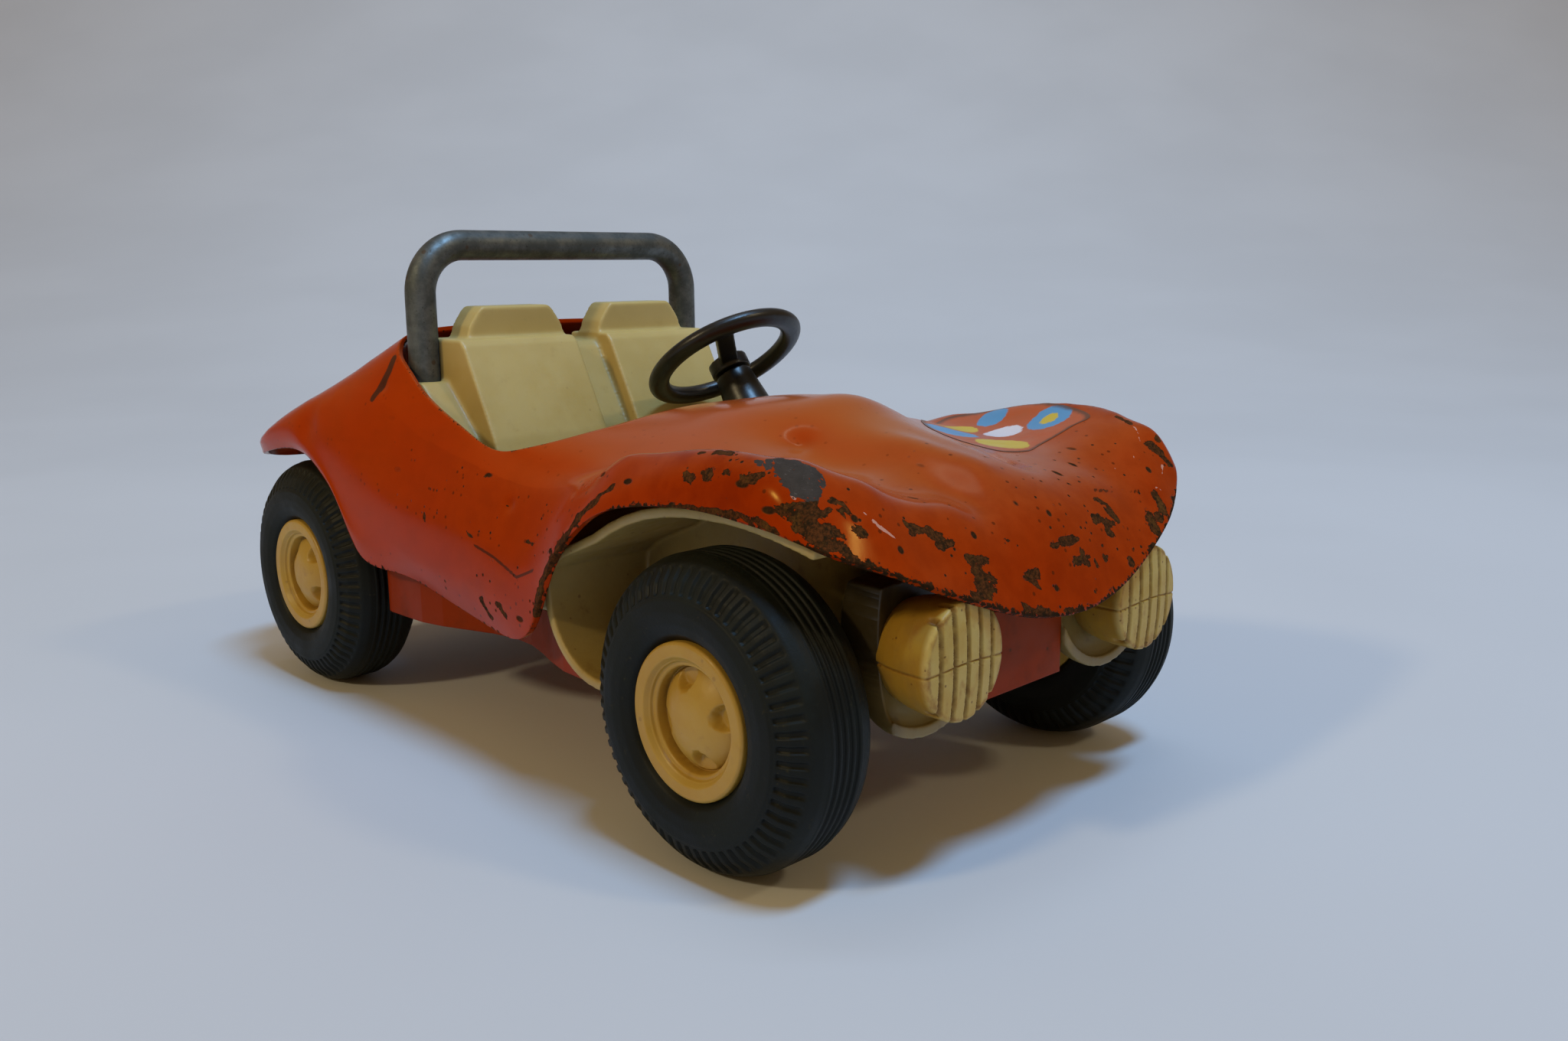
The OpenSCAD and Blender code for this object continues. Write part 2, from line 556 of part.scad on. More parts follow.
// Half of the dash's front view, kept under the body from the centre to the side wall
function dash_side() = concat(
    [for (u = [1.8:0.4:5.4]) let (p = place(rail_at(0, u)))
        [p.x, min(dash_top_z, p.z - sheet - 0.45 - 0.25*(u - 2))]],
    [[tub_half - tub_wall + fit, 38.4 + lift], [tub_half - tub_wall + fit, shelf_z]]);
module tub_dash() {
    t = 1.4;
    low = dash_z(dash_back_y) - 2.4;
    side = dash_side();
    intersection() {
        along_x(-tub_half, tub_half) polygon([
            [tub_front_y, shelf_z], [tub_front_y, dash_top_z], [dash_y(dash_top_z), dash_top_z],
            [dash_back_y, dash_z(dash_back_y)], [dash_back_y, low], [dash_back_y - t, low],
            [dash_back_y - t, dash_z(dash_back_y) - t], [dash_y(dash_top_z), dash_top_z - 2*t],
            [tub_front_y + t, dash_top_z - 2*t], [tub_front_y + t, shelf_z]]);
        translate([0, tub_rear_y, 0]) rotate([90, 0, 0]) linear_extrude(tub_rear_y - tub_front_y + 1)
            polygon(concat(side, [for (i = [len(side) - 1:-1:0]) [-side[i].x, side[i].y]]));
    }
}
module tub_body() {
    length = tub_rear_y - tub_front_y;
    both_sides() {
        along_x(seat_x - seat_w/2, seat_x + seat_w/2) polygon(seat_side(0, 0));
        headrest();
        along_x(seat_x + seat_w/2 - fit, tub_half - tub_wall + fit) polygon(seat_side(3.4, 5.9));
        tub_side();
    }
    along_x(-seat_x + seat_w/2 - fit, seat_x - seat_w/2 + fit) polygon(seat_side(2.6, 1.2));
    tub_dash();
    // The floor sits inside the pan, with a shelf out to the side walls
    difference() {
        union() {
            translate([-tub_half, tub_front_y, shelf_z]) cube([2*tub_half, length, tub_wall]);
            translate([-tub_foot_half, tub_front_y, tub_foot_z])
                cube([2*tub_foot_half, length, shelf_z + tub_wall - tub_foot_z]);
        }
        translate([-tub_foot_half + tub_wall, tub_front_y + tub_wall, tub_foot_z + tub_wall])
            cube([2*(tub_foot_half - tub_wall), length - 2*tub_wall, 20]);
    }
}
module interior_tub() {
    wall = 1.4;
    color([0.85, 0.77, 0.56]) difference() {
        tub_body();
        // The foot keeps inside the pan
        both_sides() translate([tub_foot_half, tub_front_y - 1, tub_foot_z - 1])
            cube([20, tub_rear_y - tub_front_y + 2, shelf_z - tub_foot_z + 1]);
        // The seats are hollow from below
        both_sides() along_x(seat_x - seat_w/2 + wall, tub_foot_half - wall)
            polygon([[tub_rear_y - wall, tub_foot_z - 1], [tub_rear_y - wall, back_top - 6.4],
                [back_high.x + 5.6, back_top - 6.4], [back_low.x + 1.9, back_low_z - 3],
                [back_low.x - 1.7, cushion_z + lift - 2.8],
                [tub_front_y + 10, cushion_z + lift - 3.4], [tub_front_y + 9.2, tub_foot_z - 1]]);
        both_sides() translate([leg_x, bar_y, bar_foot_z - fit])
            cylinder(h = 40, r = bar_r + fit, $fn = round_fn);
        for (y = screw_ys) translate([0, y, tub_foot_z - 1])
            cylinder(h = screw_long, r = screw_r + fit, $fn = round_fn);
    }
}
screw_r = 1;
screw_long = 6;
screw_ys = [shift_y(-2), shift_y(14)];
module tub_screws() {
    color([0.55, 0.55, 0.55]) for (y = screw_ys)
        translate([0, y, pan_z]) sunk_screw(screw_r, screw_long - sheet - 1.2);
}

/* Steering: a column on the dash and a wheel that turns in it */
steer_axis = [0, cos(steer_lean), sin(steer_lean)];
column_len = 11.2;
column_gap = 0.25;
hub_drop = 1.6;
steer_base = [steer_x, steer_y, steer_z] - column_len*steer_axis;
stem_r = 1.1;
stem_deep = 6.5;
module on_column() {
    translate([steer_x, steer_y, steer_z]) rotate([steer_lean - 90, 0, 0]) children();
}
module steering_column() {
    top = -hub_drop - 1.1 - column_gap;
    color([0.06, 0.06, 0.06]) on_column() difference() {
        translate([0, 0, fit - column_len])
            cylinder(h = column_len + top - fit, r1 = 3.8, r2 = 2.7, $fn = round_fn);
        translate([0, 0, top - stem_deep - 0.3])
            cylinder(h = stem_deep + 1, r = stem_r + run, $fn = round_fn);
    }
}
rim_r = 1.6;
rim_tall = 1.25;
module steering_wheel() {
    ring = steer_d/2 - rim_r;
    spoke_w = 2.6;
    spoke_turn = 51.3;
    color([0.05, 0.05, 0.055]) on_column() {
        rotate_extrude($fn = round_fn)
            polygon([for (i = [0:15]) let (a = i*22.5) [ring + rim_r*cos(a), rim_tall*sin(a)]]);
        translate([0, 0, -hub_drop - 1]) cylinder(h = 2, r = 3, $fn = round_fn);
        translate([0, 0, -hub_drop - 1.1 - stem_deep])
            cylinder(h = stem_deep + 0.6, r = stem_r, $fn = round_fn);
        for (turn = [0, 180]) rotate([0, 0, spoke_turn + turn]) rotate([90, 0, 0])
            linear_extrude(spoke_w, center = true)
                polygon([[1, -hub_drop - 0.8], [ring, -0.8], [ring, 0.8], [1, -hub_drop + 0.8]]);
    }
}

/* Drive: a coiled spring in a barrel, geared down to the rear axle, in a two-part case */
idler_way = 60;
barrel_way = 156;
function pitch_r(teeth) = gear_m*teeth/2;
idler_c = [rear_y, axle_z] + (pitch_r(axle_teeth) + pitch_r(idler_teeth))*[cos(idler_way), sin(idler_way)];
barrel_c = idler_c + (pitch_r(pinion_teeth) + pitch_r(barrel_teeth))*[cos(barrel_way), sin(barrel_way)];
tip_add = 0.85*gear_m;
root_ded = 1.3*gear_m;
backlash = 0.16;
pressure = 20;
function involute(a) = tan(a)*180/PI - a;
function tooth_half(teeth, r) = let (rp = pitch_r(teeth), rb = rp*cos(pressure))
    (90/teeth - backlash/2/rp*180/PI/2) + involute(pressure) - involute(acos(min(1, rb/r)));
function gear_outline(teeth) = let (
    rp = pitch_r(teeth), root = rp - root_ded, tip = rp + tip_add, base = max(root + 0.05, rp*cos(pressure)),
    up = [root, base, (base + rp)/2, rp, (rp + tip)/2, tip], slim = [0.8, 0, 0, 0, 0, 0])
    [for (k = [0:teeth - 1]) each let (mid = k*360/teeth) concat(
        [for (j = [0:5]) let (a = mid - tooth_half(teeth, max(up[j], base)) + slim[j])
            up[j]*[cos(a), sin(a)]],
        [for (j = [5:-1:0]) let (a = mid + tooth_half(teeth, max(up[j], base)) - slim[j])
            up[j]*[cos(a), sin(a)]])];
// A gear about a centre in the YZ plane, from x0 to x1, turned by an angle
module gear(teeth, c, x0, x1, turn, bore) {
    translate([x0, c.x, c.y]) rotate([90, 0, 90]) rotate([0, 0, turn]) linear_extrude(x1 - x0) difference() {
        polygon(gear_outline(teeth));
        circle(bore, $fn = round_fn);
    }
}
module tube_x(x0, x1, c, outer, inner) {
    translate([x0, c.x, c.y]) rotate([90, 0, 90]) linear_extrude(x1 - x0) difference() {
        circle(outer, $fn = round_fn);
        circle(inner, $fn = round_fn);
    }
}
gear_t = 2;
out_x0 = 2;
in_x0 = -2;
drum_x0 = -8;
case_right_x = 10;
case_left_x = 6;
case_split = 1;
pin_r = 0.8;
arbor_r = 1.2;
drum_r = pitch_r(barrel_teeth) - root_ded - 0.1;
drum_wall = 1;
module axle_gear() {
    color([0.80, 0.62, 0.25])
        gear(axle_teeth, [rear_y, axle_z], out_x0, out_x0 + gear_t, idler_way, axle_r + fit);
}
module idler_gear() {
    color([0.80, 0.62, 0.25]) {
        gear(idler_teeth, idler_c, out_x0, out_x0 + gear_t, idler_way + 180 + 180/idler_teeth, pin_r + run);
        gear(pinion_teeth, idler_c, in_x0, in_x0 + gear_t, barrel_way, pin_r + run);
        tube_x(in_x0 + gear_t - fit, out_x0 + fit, idler_c, pitch_r(pinion_teeth) - root_ded, pin_r + run);
    }
}
module idler_pin() {
    color([0.7, 0.7, 0.7]) bar_x(-case_right_x, case_left_x, idler_c.x, idler_c.y, pin_r);
}
module barrel_arbor() {
    color([0.7, 0.7, 0.7]) bar_x(-case_right_x, case_left_x, barrel_c.x, barrel_c.y, arbor_r);
}
module spring_barrel() {
    web = 0.8;
    color([0.80, 0.62, 0.25]) {
        gear(barrel_teeth, barrel_c, in_x0, in_x0 + gear_t,
             barrel_way + 180 + 180/barrel_teeth, arbor_r + run);
        tube_x(drum_x0 + web, in_x0 + fit, barrel_c, drum_r, drum_r - drum_wall);
        tube_x(drum_x0, drum_x0 + web + fit, barrel_c, drum_r, arbor_r + run);
    }
}
module mainspring() {
    web = 0.8;
    clear = 0.1;
    turns = 5;
    inner = arbor_r + 0.6;
    outer = drum_r - drum_wall - clear - spring_t;
    steps = 20;
    function coil(i, d) =
        let (a = i*360/steps, r = inner + (outer - inner)*i/(turns*steps) + d) r*[cos(a), sin(a)];
    color([0.35, 0.38, 0.42]) translate([drum_x0 + web + clear, barrel_c.x, barrel_c.y]) rotate([90, 0, 90])
        linear_extrude(in_x0 - drum_x0 - web - 2*clear) polygon(concat(
            [for (i = [0:turns*steps]) coil(i, 0)], [for (i = [turns*steps:-1:0]) coil(i, spring_t)]));
}
case_top_z = barrel_c.y + 11;
case_low_z = axle_z - 5.1;
case_outline = [
    [barrel_c.x - 11, case_top_z - 5], [barrel_c.x - 5, case_top_z], [barrel_c.x + 6.5, case_top_z],
    [idler_c.x + 9.5, idler_c.y + 4.5], [idler_c.x + 9.5, idler_c.y - 3], [rear_y + 5.5, case_low_z],
    [rear_y - 5.5, case_low_z], [barrel_c.x - 11, barrel_c.y - 6]];
function inset(P, d) = let (n = len(P)) [for (i = [0:n - 1]) let (
    a = P[(i + n - 1) % n], b = P[i], c = P[(i + 1) % n],
    p = unit([b.y - a.y, a.x - b.x]), q = unit([c.y - b.y, b.x - c.x]))
    b + d*(p + q)/(1 + p*q)];
function on_line(a, b, z) = a.x + (b.x - a.x)*(z - a.y)/(b.y - a.y);
foot_front_y = on_line(case_outline[6], case_outline[7], pan_floor);
foot_rear_y = on_line(case_outline[5], case_outline[4], pan_floor);
foot_long = 5;
foot_tall = 1.6;
case_screw_r = 0.7;
case_screw_ys = [foot_front_y - foot_long/2 - 0.2, foot_rear_y + foot_long/2 + 0.2];
case_screw_xs = [-5.5, 3.6];
end_play = 0.25;
module case_feet(x0, x1) {
    for (y = [foot_front_y - foot_long, foot_rear_y + 0.1])
        translate([x0, y, pan_floor + fit]) cube([x1 - x0, foot_long - 0.1, foot_tall]);
}
module case_bores(x0, x1) {
    bar_x(x0 - 1, x1 + 1, rear_y, axle_z, axle_r + run);
    bar_x(x0 - 1, x1 + 1, idler_c.x, idler_c.y, pin_r + fit);
    bar_x(x0 - 1, x1 + 1, barrel_c.x, barrel_c.y, arbor_r + fit);
    for (x = case_screw_xs, y = case_screw_ys) translate([x, y, pan_z - 1])
        cylinder(h = pan_floor + foot_tall + 3 - pan_z, r = case_screw_r + fit, $fn = round_fn);
}
module drive_case_right() {
    x0 = -case_right_x;
    x1 = case_split - fit;
    color([0.16, 0.17, 0.19]) difference() {
        union() {
            difference() {
                along_x(x0, x1) polygon(case_outline);
                along_x(x0 + case_wall, x1 + 1) polygon(inset(case_outline, case_wall));
            }
            bar_x(x0 + case_wall/2, in_x0 - end_play, idler_c.x, idler_c.y, pin_r + 1);
            bar_x(x0 + case_wall/2, drum_x0 - end_play, barrel_c.x, barrel_c.y, arbor_r + 1.2);
            bar_x(x0 + case_wall/2, x0 + 3, rear_y, axle_z, axle_r + 1);
            case_feet(x0 + 1, x1);
        }
        case_bores(x0, x1);
    }
}
module drive_case_left() {
    x0 = case_split;
    x1 = case_left_x;
    color([0.16, 0.17, 0.19]) difference() {
        union() {
            difference() {
                along_x(x0, x1) polygon(case_outline);
                along_x(x0 - 1, x1 - case_wall) polygon(inset(case_outline, case_wall));
            }
            bar_x(out_x0 + gear_t + end_play, x1 - case_wall/2, idler_c.x, idler_c.y, pin_r + 1);
            bar_x(in_x0 + gear_t + end_play, x1 - case_wall/2, barrel_c.x, barrel_c.y, arbor_r + 1);
            case_feet(x0, x1);
        }
        case_bores(x0 - 2, x1);
    }
}
module case_screws() {
    color([0.6, 0.6, 0.6]) for (x = case_screw_xs, y = case_screw_ys)
        translate([x, y, pan_z]) sunk_screw(case_screw_r, sheet + foot_tall - 0.2);
}

body_shell();
floor_pan();
interior_tub();
right_fender_liner();
left_fender_liner();
right_headlamp();
left_headlamp();
roll_bar();
steering_column();
steering_wheel();
front_axle();
front_axle_sleeves();
front_right_hub();
front_left_hub();
front_right_tyre();
front_left_tyre();
rear_axle();
rear_axle_sleeves();
rear_right_hub();
rear_left_hub();
rear_right_tyre();
rear_left_tyre();
drive_case_right();
drive_case_left();
case_screws();
axle_gear();
idler_gear();
idler_pin();
spring_barrel();
mainspring();
barrel_arbor();
tub_screws();
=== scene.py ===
"""Looks of a worn pressed-steel toy dune buggy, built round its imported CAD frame.

Lengths here are in millimetres until they reach Blender. X points to the car's left, Y to its tail, Z up.
"""

import json
import math

import bmesh
import bpy
import numpy as np
from mathutils import Matrix, Vector, noise
from mathutils.bvhtree import BVHTree
from mathutils.kdtree import KDTree


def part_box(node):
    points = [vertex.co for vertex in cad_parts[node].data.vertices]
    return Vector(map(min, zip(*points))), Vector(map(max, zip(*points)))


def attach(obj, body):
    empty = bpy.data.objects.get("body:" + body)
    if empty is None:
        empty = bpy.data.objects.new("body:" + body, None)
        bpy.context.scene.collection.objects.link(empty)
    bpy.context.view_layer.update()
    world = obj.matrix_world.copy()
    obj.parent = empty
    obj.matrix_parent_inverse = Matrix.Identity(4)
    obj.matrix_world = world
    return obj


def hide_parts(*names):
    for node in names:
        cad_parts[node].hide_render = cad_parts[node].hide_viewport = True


MM = 0.001


# ---------------- shader kit


def rgb(red, green, blue):
    """A colour written as the eye sees it, from 0 to 255, as Blender's linear RGBA."""
    return tuple(
        c / 12.92 if c <= 0.04045 else ((c + 0.055) / 1.055) ** 2.4
        for c in (red / 255, green / 255, blue / 255)
    ) + (1.0,)


class Shader:
    """One material whose nodes are made by short calls. Sizes are in millimetres."""

    def __init__(self, name):
        self.material = bpy.data.materials.new(name)
        self.material.use_nodes = True
        self.tree = self.material.node_tree
        self.surface = self.tree.nodes["Principled BSDF"]
        self.place = self.node("ShaderNodeTexCoord").outputs["Object"]

    def node(self, kind, **settings):
        made = self.tree.nodes.new(kind)
        for key, value in settings.items():
            setattr(made, key, value)
        return made

    def put(self, socket, value):
        """Links another node's output to a socket, or writes a plain value into it."""
        if isinstance(value, bpy.types.NodeSocket):
            self.tree.links.new(value, socket)
        else:
            socket.default_value = value

    def math(self, operation, *values):
        made = self.node("ShaderNodeMath", operation=operation)
        for socket, value in zip(made.inputs, values):
            self.put(socket, value)
        return made.outputs[0]

    def times(self, first, second):
        return self.math("MULTIPLY", first, second)

    def step(self, value, low, high, start=0.0, end=1.0):
        """A smooth step from start to end as value goes from low to high."""
        made = self.node("ShaderNodeMapRange", interpolation_type="SMOOTHSTEP")
        keys = ("Value", "From Min", "From Max", "To Min", "To Max")
        for key, given in zip(keys, (value, low, high, start, end)):
            self.put(made.inputs[key], given)
        return made.outputs[0]

    def stretched(self, x, y, z, turn=0.0):
        """The object's own place, scaled along each axis and turned about Z by some degrees."""
        made = self.node("ShaderNodeMapping")
        self.put(made.inputs["Vector"], self.place)
        made.inputs["Scale"].default_value = (x, y, z)
        made.inputs["Rotation"].default_value = (0, 0, math.radians(turn))
        return made.outputs[0]

    def noise(self, size, detail, rough, at=None):
        made = self.node("ShaderNodeTexNoise")
        self.put(made.inputs["Vector"], at or self.place)
        made.inputs["Scale"].default_value = 1 / (size * MM)
        made.inputs["Detail"].default_value = detail
        made.inputs["Roughness"].default_value = rough
        return made.outputs[0]

    def specks(self, size, radius, share, at=None):
        """Round specks: one for a share of the cells of this size, each up to radius of its cell."""
        made = self.node("ShaderNodeTexVoronoi", feature="F1")
        self.put(made.inputs["Vector"], at or self.place)
        made.inputs["Scale"].default_value = 1 / (size * MM)
        near = self.step(made.outputs["Distance"], radius * 0.6, radius, 1.0, 0.0)
        pick = self.node("ShaderNodeSeparateColor")
        self.put(pick.inputs[0], made.outputs["Color"])
        return self.times(near, self.math("LESS_THAN", pick.outputs[0], share))

    def mix(self, amount, first, second):
        made = self.node("ShaderNodeMix", data_type="RGBA")
        self.put(made.inputs[0], amount)
        self.put(made.inputs[6], first)
        self.put(made.inputs[7], second)
        return made.outputs[2]

    def blend(self, amount, first, second):
        """The same as mix, for plain numbers."""
        made = self.node("ShaderNodeMix", data_type="FLOAT")
        self.put(made.inputs[0], amount)
        self.put(made.inputs[2], first)
        self.put(made.inputs[3], second)
        return made.outputs[0]

    def field(self, name):
        """A number that the mesh code has left on each vertex."""
        return self.node("ShaderNodeAttribute", attribute_name=name).outputs["Fac"]

    def hollow_shade(self, reach):
        """1 in creases and gaps narrower than reach, 0 in the open: the mask that paints shade into
        colours.
        """
        made = self.node("ShaderNodeAmbientOcclusion", samples=4, only_local=True)
        made.inputs["Distance"].default_value = reach * MM
        return self.math("SUBTRACT", 1.0, made.outputs["AO"])

    def bump(self, height, depth, strength=1.0, under=None):
        made = self.node("ShaderNodeBump")
        made.inputs["Strength"].default_value = strength
        made.inputs["Distance"].default_value = depth * MM
        self.put(made.inputs["Height"], height)
        if under is not None:
            self.put(made.inputs["Normal"], under)
        return made.outputs[0]

    def soft_edge(self, radius):
        made = self.node("ShaderNodeBevel", samples=4)
        made.inputs["Radius"].default_value = radius * MM
        return made.outputs[0]

    def finish(self, **values):
        for key, value in values.items():
            self.put(self.surface.inputs[key.replace("_", " ").title().replace("Ior", "IOR")], value)
        return self.material


# ---------------- materials


def rust_colour(s):
    """Brown rust with ochre grains, and darker pits."""
    grain = s.noise(0.35, 4, 0.7)
    patch = s.noise(2.2, 3, 0.6)
    brown = s.mix(s.step(grain, 0.36, 0.66), rgb(44, 23, 11), rgb(92, 48, 22))
    ochre = s.mix(grain, rgb(64, 38, 14), rgb(110, 72, 30))
    rust = s.mix(s.step(patch, 0.50, 0.75, 0.0, 0.8), brown, ochre)
    pits = s.step(s.noise(0.8, 3, 0.6), 0.54, 0.66, 0.0, 0.85)
    return s.mix(pits, rust, rgb(28, 18, 12))


def bare_colour(s):
    """Dark bare steel with pale scrapes along the car."""
    scrape = s.noise(0.9, 4, 0.7, at=s.stretched(2.4, 0.5, 2.4))
    grey = s.mix(s.noise(1.2, 3, 0.6), rgb(46, 41, 40), rgb(74, 66, 63))
    return s.mix(s.step(scrape, 0.60, 0.74, 0.0, 0.7), grey, rgb(116, 106, 102))


def torn_field(s, name, level, raggedness):
    """A vertex field less a level, made uneven, so that patches cut from it at 0 have a torn outline."""
    coarse = s.math("SUBTRACT", s.noise(1.6, 4, 0.62), 0.5)
    fine = s.math("SUBTRACT", s.noise(0.45, 3, 0.6), 0.5)
    large = s.times(coarse, 2.2 * raggedness)
    small = s.times(fine, 1.3 * raggedness)
    return s.math("ADD", s.math("SUBTRACT", s.field(name), level), s.math("ADD", large, small))


def patches_of(s, torn):
    """1 inside the patches of a torn field and 0 outside."""
    return s.step(torn, -0.03, 0.05)


def enamel(s):
    """The orange enamel's own colour: faded in clouds, with hairline marks along the car."""
    fade_and_painted_top_light = s.noise(26, 3, 0.5)
    paint = s.mix(s.step(fade_and_painted_top_light, 0.35, 0.68), rgb(172, 48, 0), rgb(176, 54, 0))
    cloudy = s.noise(2.4, 5, 0.6, at=s.stretched(1, 0.45, 1))
    paint = s.mix(s.step(cloudy, 0.35, 0.75, 0.0, 0.30), paint, rgb(150, 46, 2))
    hair = s.noise(0.5, 2, 0.5, at=s.stretched(7, 0.35, 3, turn=18))
    return s.mix(s.step(hair, 0.70, 0.76, 0.0, 0.22), paint, rgb(190, 100, 50))


def pan_paint():
    """The same enamel underneath the car, where it is dull and whole."""
    s = Shader("pan_paint")
    grime_and_painted_shade = s.step(s.noise(4, 5, 0.6), 0.45, 0.75, 0.0, 0.45)
    colour = s.mix(grime_and_painted_shade, enamel(s), rgb(76, 28, 8))
    colour = s.mix(0.5, colour, rgb(90, 28, 0))
    colour = s.mix(s.times(s.specks(2.4, 0.12, 0.16), 0.7), colour, rgb(60, 30, 14))
    return s.finish(
        base_color=colour,
        roughness=s.step(s.noise(6, 4, 0.6), 0.3, 0.7, 0.38, 0.5),
        normal=s.bump(s.noise(1.3, 3, 0.5), 0.02, 0.5, under=s.soft_edge(0.3)),
        specular_ior_level=0.2,
        specular_tint=(0.7, 0.5, 0.0, 1.0),
    )


def orange_paint():
    """Thick orange enamel, faded and veiled, with a painted sheen on its upward faces and painted shade in
    its creases and along its chips' edges, chipped to rust and bare steel.
    """
    s = Shader("orange_paint")
    chip_depth = torn_field(s, "chips", 0.06, 0.75)
    chips = patches_of(s, chip_depth)
    wear = s.field("wear")
    long_nicks = s.specks(1.9, 0.26, 0.18, at=s.stretched(1, 0.45, 1))
    nicks = s.math("MAXIMUM", long_nicks, s.specks(0.8, 0.3, 0.08))
    nicks = s.times(nicks, s.step(wear, 0.12, 0.5))
    pits = s.times(s.specks(1.1, 0.26, 0.2), s.step(wear, 0.02, 0.30, 0.25, 0.9))
    rim = patches_of(s, torn_field(s, "edge", 0.76, 0.8))
    gone = s.math("MAXIMUM", s.math("MAXIMUM", chips, nicks), rim)
    scuffs = s.times(patches_of(s, torn_field(s, "scuff", 0.10, 0.75)), 0.85)

    tired = s.times(wear, s.step(s.noise(3, 5, 0.6), 0.3, 0.7, 0.35, 0.75))
    # Painted sheen: the upward faces, most of all on the hood, take a lighter, yellower orange
    paint = s.mix(s.field("fade_and_painted_top_light"), enamel(s), rgb(172, 98, 48))
    paint = s.mix(tired, paint, rgb(130, 30, 0))
    paint = s.mix(s.times(pits, 0.75), paint, rgb(70, 26, 8))
    paint = s.mix(s.step(s.field("scratch"), 0.15, 0.6, 0.0, 0.85), paint, rgb(66, 26, 10))
    paint = s.mix(scuffs, paint, rgb(206, 150, 128))
    # Painted shade: a dark rim inside each chip's edge, where the lifted paint would shade the steel; rust
    # further in
    metal = s.mix(s.step(chip_depth, 0.03, 0.30, 0.35, 1.0), rgb(30, 17, 10), rust_colour(s))
    metal = s.mix(s.step(s.field("bare"), 0.3, 0.6), metal, bare_colour(s))
    colour = s.mix(gone, paint, metal)
    colour = s.mix(s.step(s.field("slit"), 0.05, 0.35, 0.0, 0.9), colour, rgb(58, 36, 26))
    # Painted shade: darker brown in the creases and gaps of the sheet
    colour = s.mix(s.times(s.hollow_shade(2.5), 0.55), colour, rgb(70, 30, 16))

    film = s.times(gone, -1.0)
    grit = s.times(gone, s.noise(0.22, 3, 0.7))
    skin = s.bump(s.noise(1.3, 3, 0.5), 0.02, 0.5)
    height = s.math("ADD", film, s.times(grit, 0.8))
    smooth = s.step(s.noise(9, 4, 0.6), 0.3, 0.7, 0.14, 0.22)
    return s.finish(
        base_color=colour,
        roughness=s.blend(gone, s.blend(scuffs, smooth, 0.6), 0.72),
        normal=s.bump(height, 0.09, 0.9, under=skin),
        specular_ior_level=0.14,
        specular_tint=(1.0, 0.8, 0.2, 1.0),
    )


# How light spreads under the surface of the old mouldings
SPREAD = dict(subsurface_radius=(0.0012, 0.0008, 0.0004), subsurface_scale=1.0)


def moulded_plastic(name, light, dark, stain, dirt, edge=0.0, deep=0.0, pale=False):
    """Aged styrene: blotched, with brown specks, and grime mixed with painted shade in its creases.

    Edge is the radius that its corners are lit with, deep the strength of the painted shade in its deep
    hollows, which also take the vertex field of painted shade, and pale lets the vertex field of painted
    light from above lighten it.
    """
    s = Shader(name)
    colour = s.mix(s.step(s.noise(11, 4, 0.6), 0.32, 0.70), light, dark)
    colour = s.mix(s.step(s.noise(3.2, 5, 0.65), 0.56, 0.78, 0.0, 0.5 * dirt), colour, stain)
    specks = s.math("MAXIMUM", s.specks(2.6, 0.12, 0.24), s.specks(1.2, 0.14, 0.07))
    colour = s.mix(s.times(specks, 0.55 * dirt), colour, rgb(110, 74, 34))
    # Grime and painted shade: the stain colour drawn into the creases by occlusion
    creases = s.times(s.hollow_shade(1.6), s.step(s.noise(1.4, 4, 0.6), 0.25, 0.6, 0.5, 1.0))
    colour = s.mix(s.step(creases, 0.22, 0.75, 0.0, 0.8 * dirt), colour, stain)
    if pale:
        # Painted light from above, where the mesh code's field gives it
        colour = s.mix(s.field("fade_and_painted_top_light"), colour, rgb(218, 194, 126))
    if deep:
        # Painted shade: the deep hollows turn dark brown
        colour = s.mix(s.step(s.hollow_shade(30), 0.45, 0.95, 0.0, deep), colour, rgb(66, 50, 20))
        # Painted shade where the mesh code's field asks for it
        colour = s.mix(s.field("grime_and_painted_shade"), colour, rgb(36, 28, 12))
    under = s.soft_edge(edge) if edge else None
    return s.finish(
        base_color=colour,
        roughness=s.step(s.noise(1.8, 4, 0.6), 0.3, 0.7, 0.36, 0.52),
        normal=s.bump(s.noise(0.9, 4, 0.55), 0.03, 0.6, under=under),
        subsurface_weight=0.12,
        **SPREAD,
    )


def lamp_plastic():
    """The lamps' cream gone amber behind, with grime in the grooves and along the mould line."""
    s = Shader("lamp_plastic")
    face = s.field("face")
    amber = s.mix(s.step(s.noise(4, 4, 0.6), 0.35, 0.7), rgb(166, 126, 38), rgb(152, 116, 44))
    pale = s.mix(s.step(s.noise(5, 4, 0.6), 0.35, 0.7), rgb(192, 167, 94), rgb(182, 150, 72))
    colour = s.mix(s.step(face, 0.2, 0.9), amber, pale)
    smear = s.step(s.noise(1.8, 5, 0.65, at=s.stretched(1, 1, 0.6)), 0.52, 0.72, 0.0, 0.55)
    colour = s.mix(smear, colour, rgb(150, 104, 40))
    uneven = s.math("SUBTRACT", s.noise(1.2, 4, 0.6), 0.5)
    edge = s.step(s.math("ADD", s.field("rim"), uneven), 0.7, 1.2, 0.0, 0.7)
    colour = s.mix(edge, colour, rgb(132, 80, 30))
    grime_and_painted_shade = s.times(s.field("groove"), s.step(s.noise(0.9, 4, 0.6), 0.3, 0.62, 0.2, 0.85))
    colour = s.mix(grime_and_painted_shade, colour, rgb(104, 66, 24))
    colour = s.mix(s.times(s.specks(0.9, 0.2, 0.22), 0.7), colour, rgb(100, 60, 24))
    return s.finish(
        base_color=colour,
        roughness=0.45,
        normal=s.bump(s.noise(0.9, 4, 0.55), 0.04, 0.6),
        subsurface_weight=0.1,
        specular_ior_level=0.3,
        **SPREAD,
    )


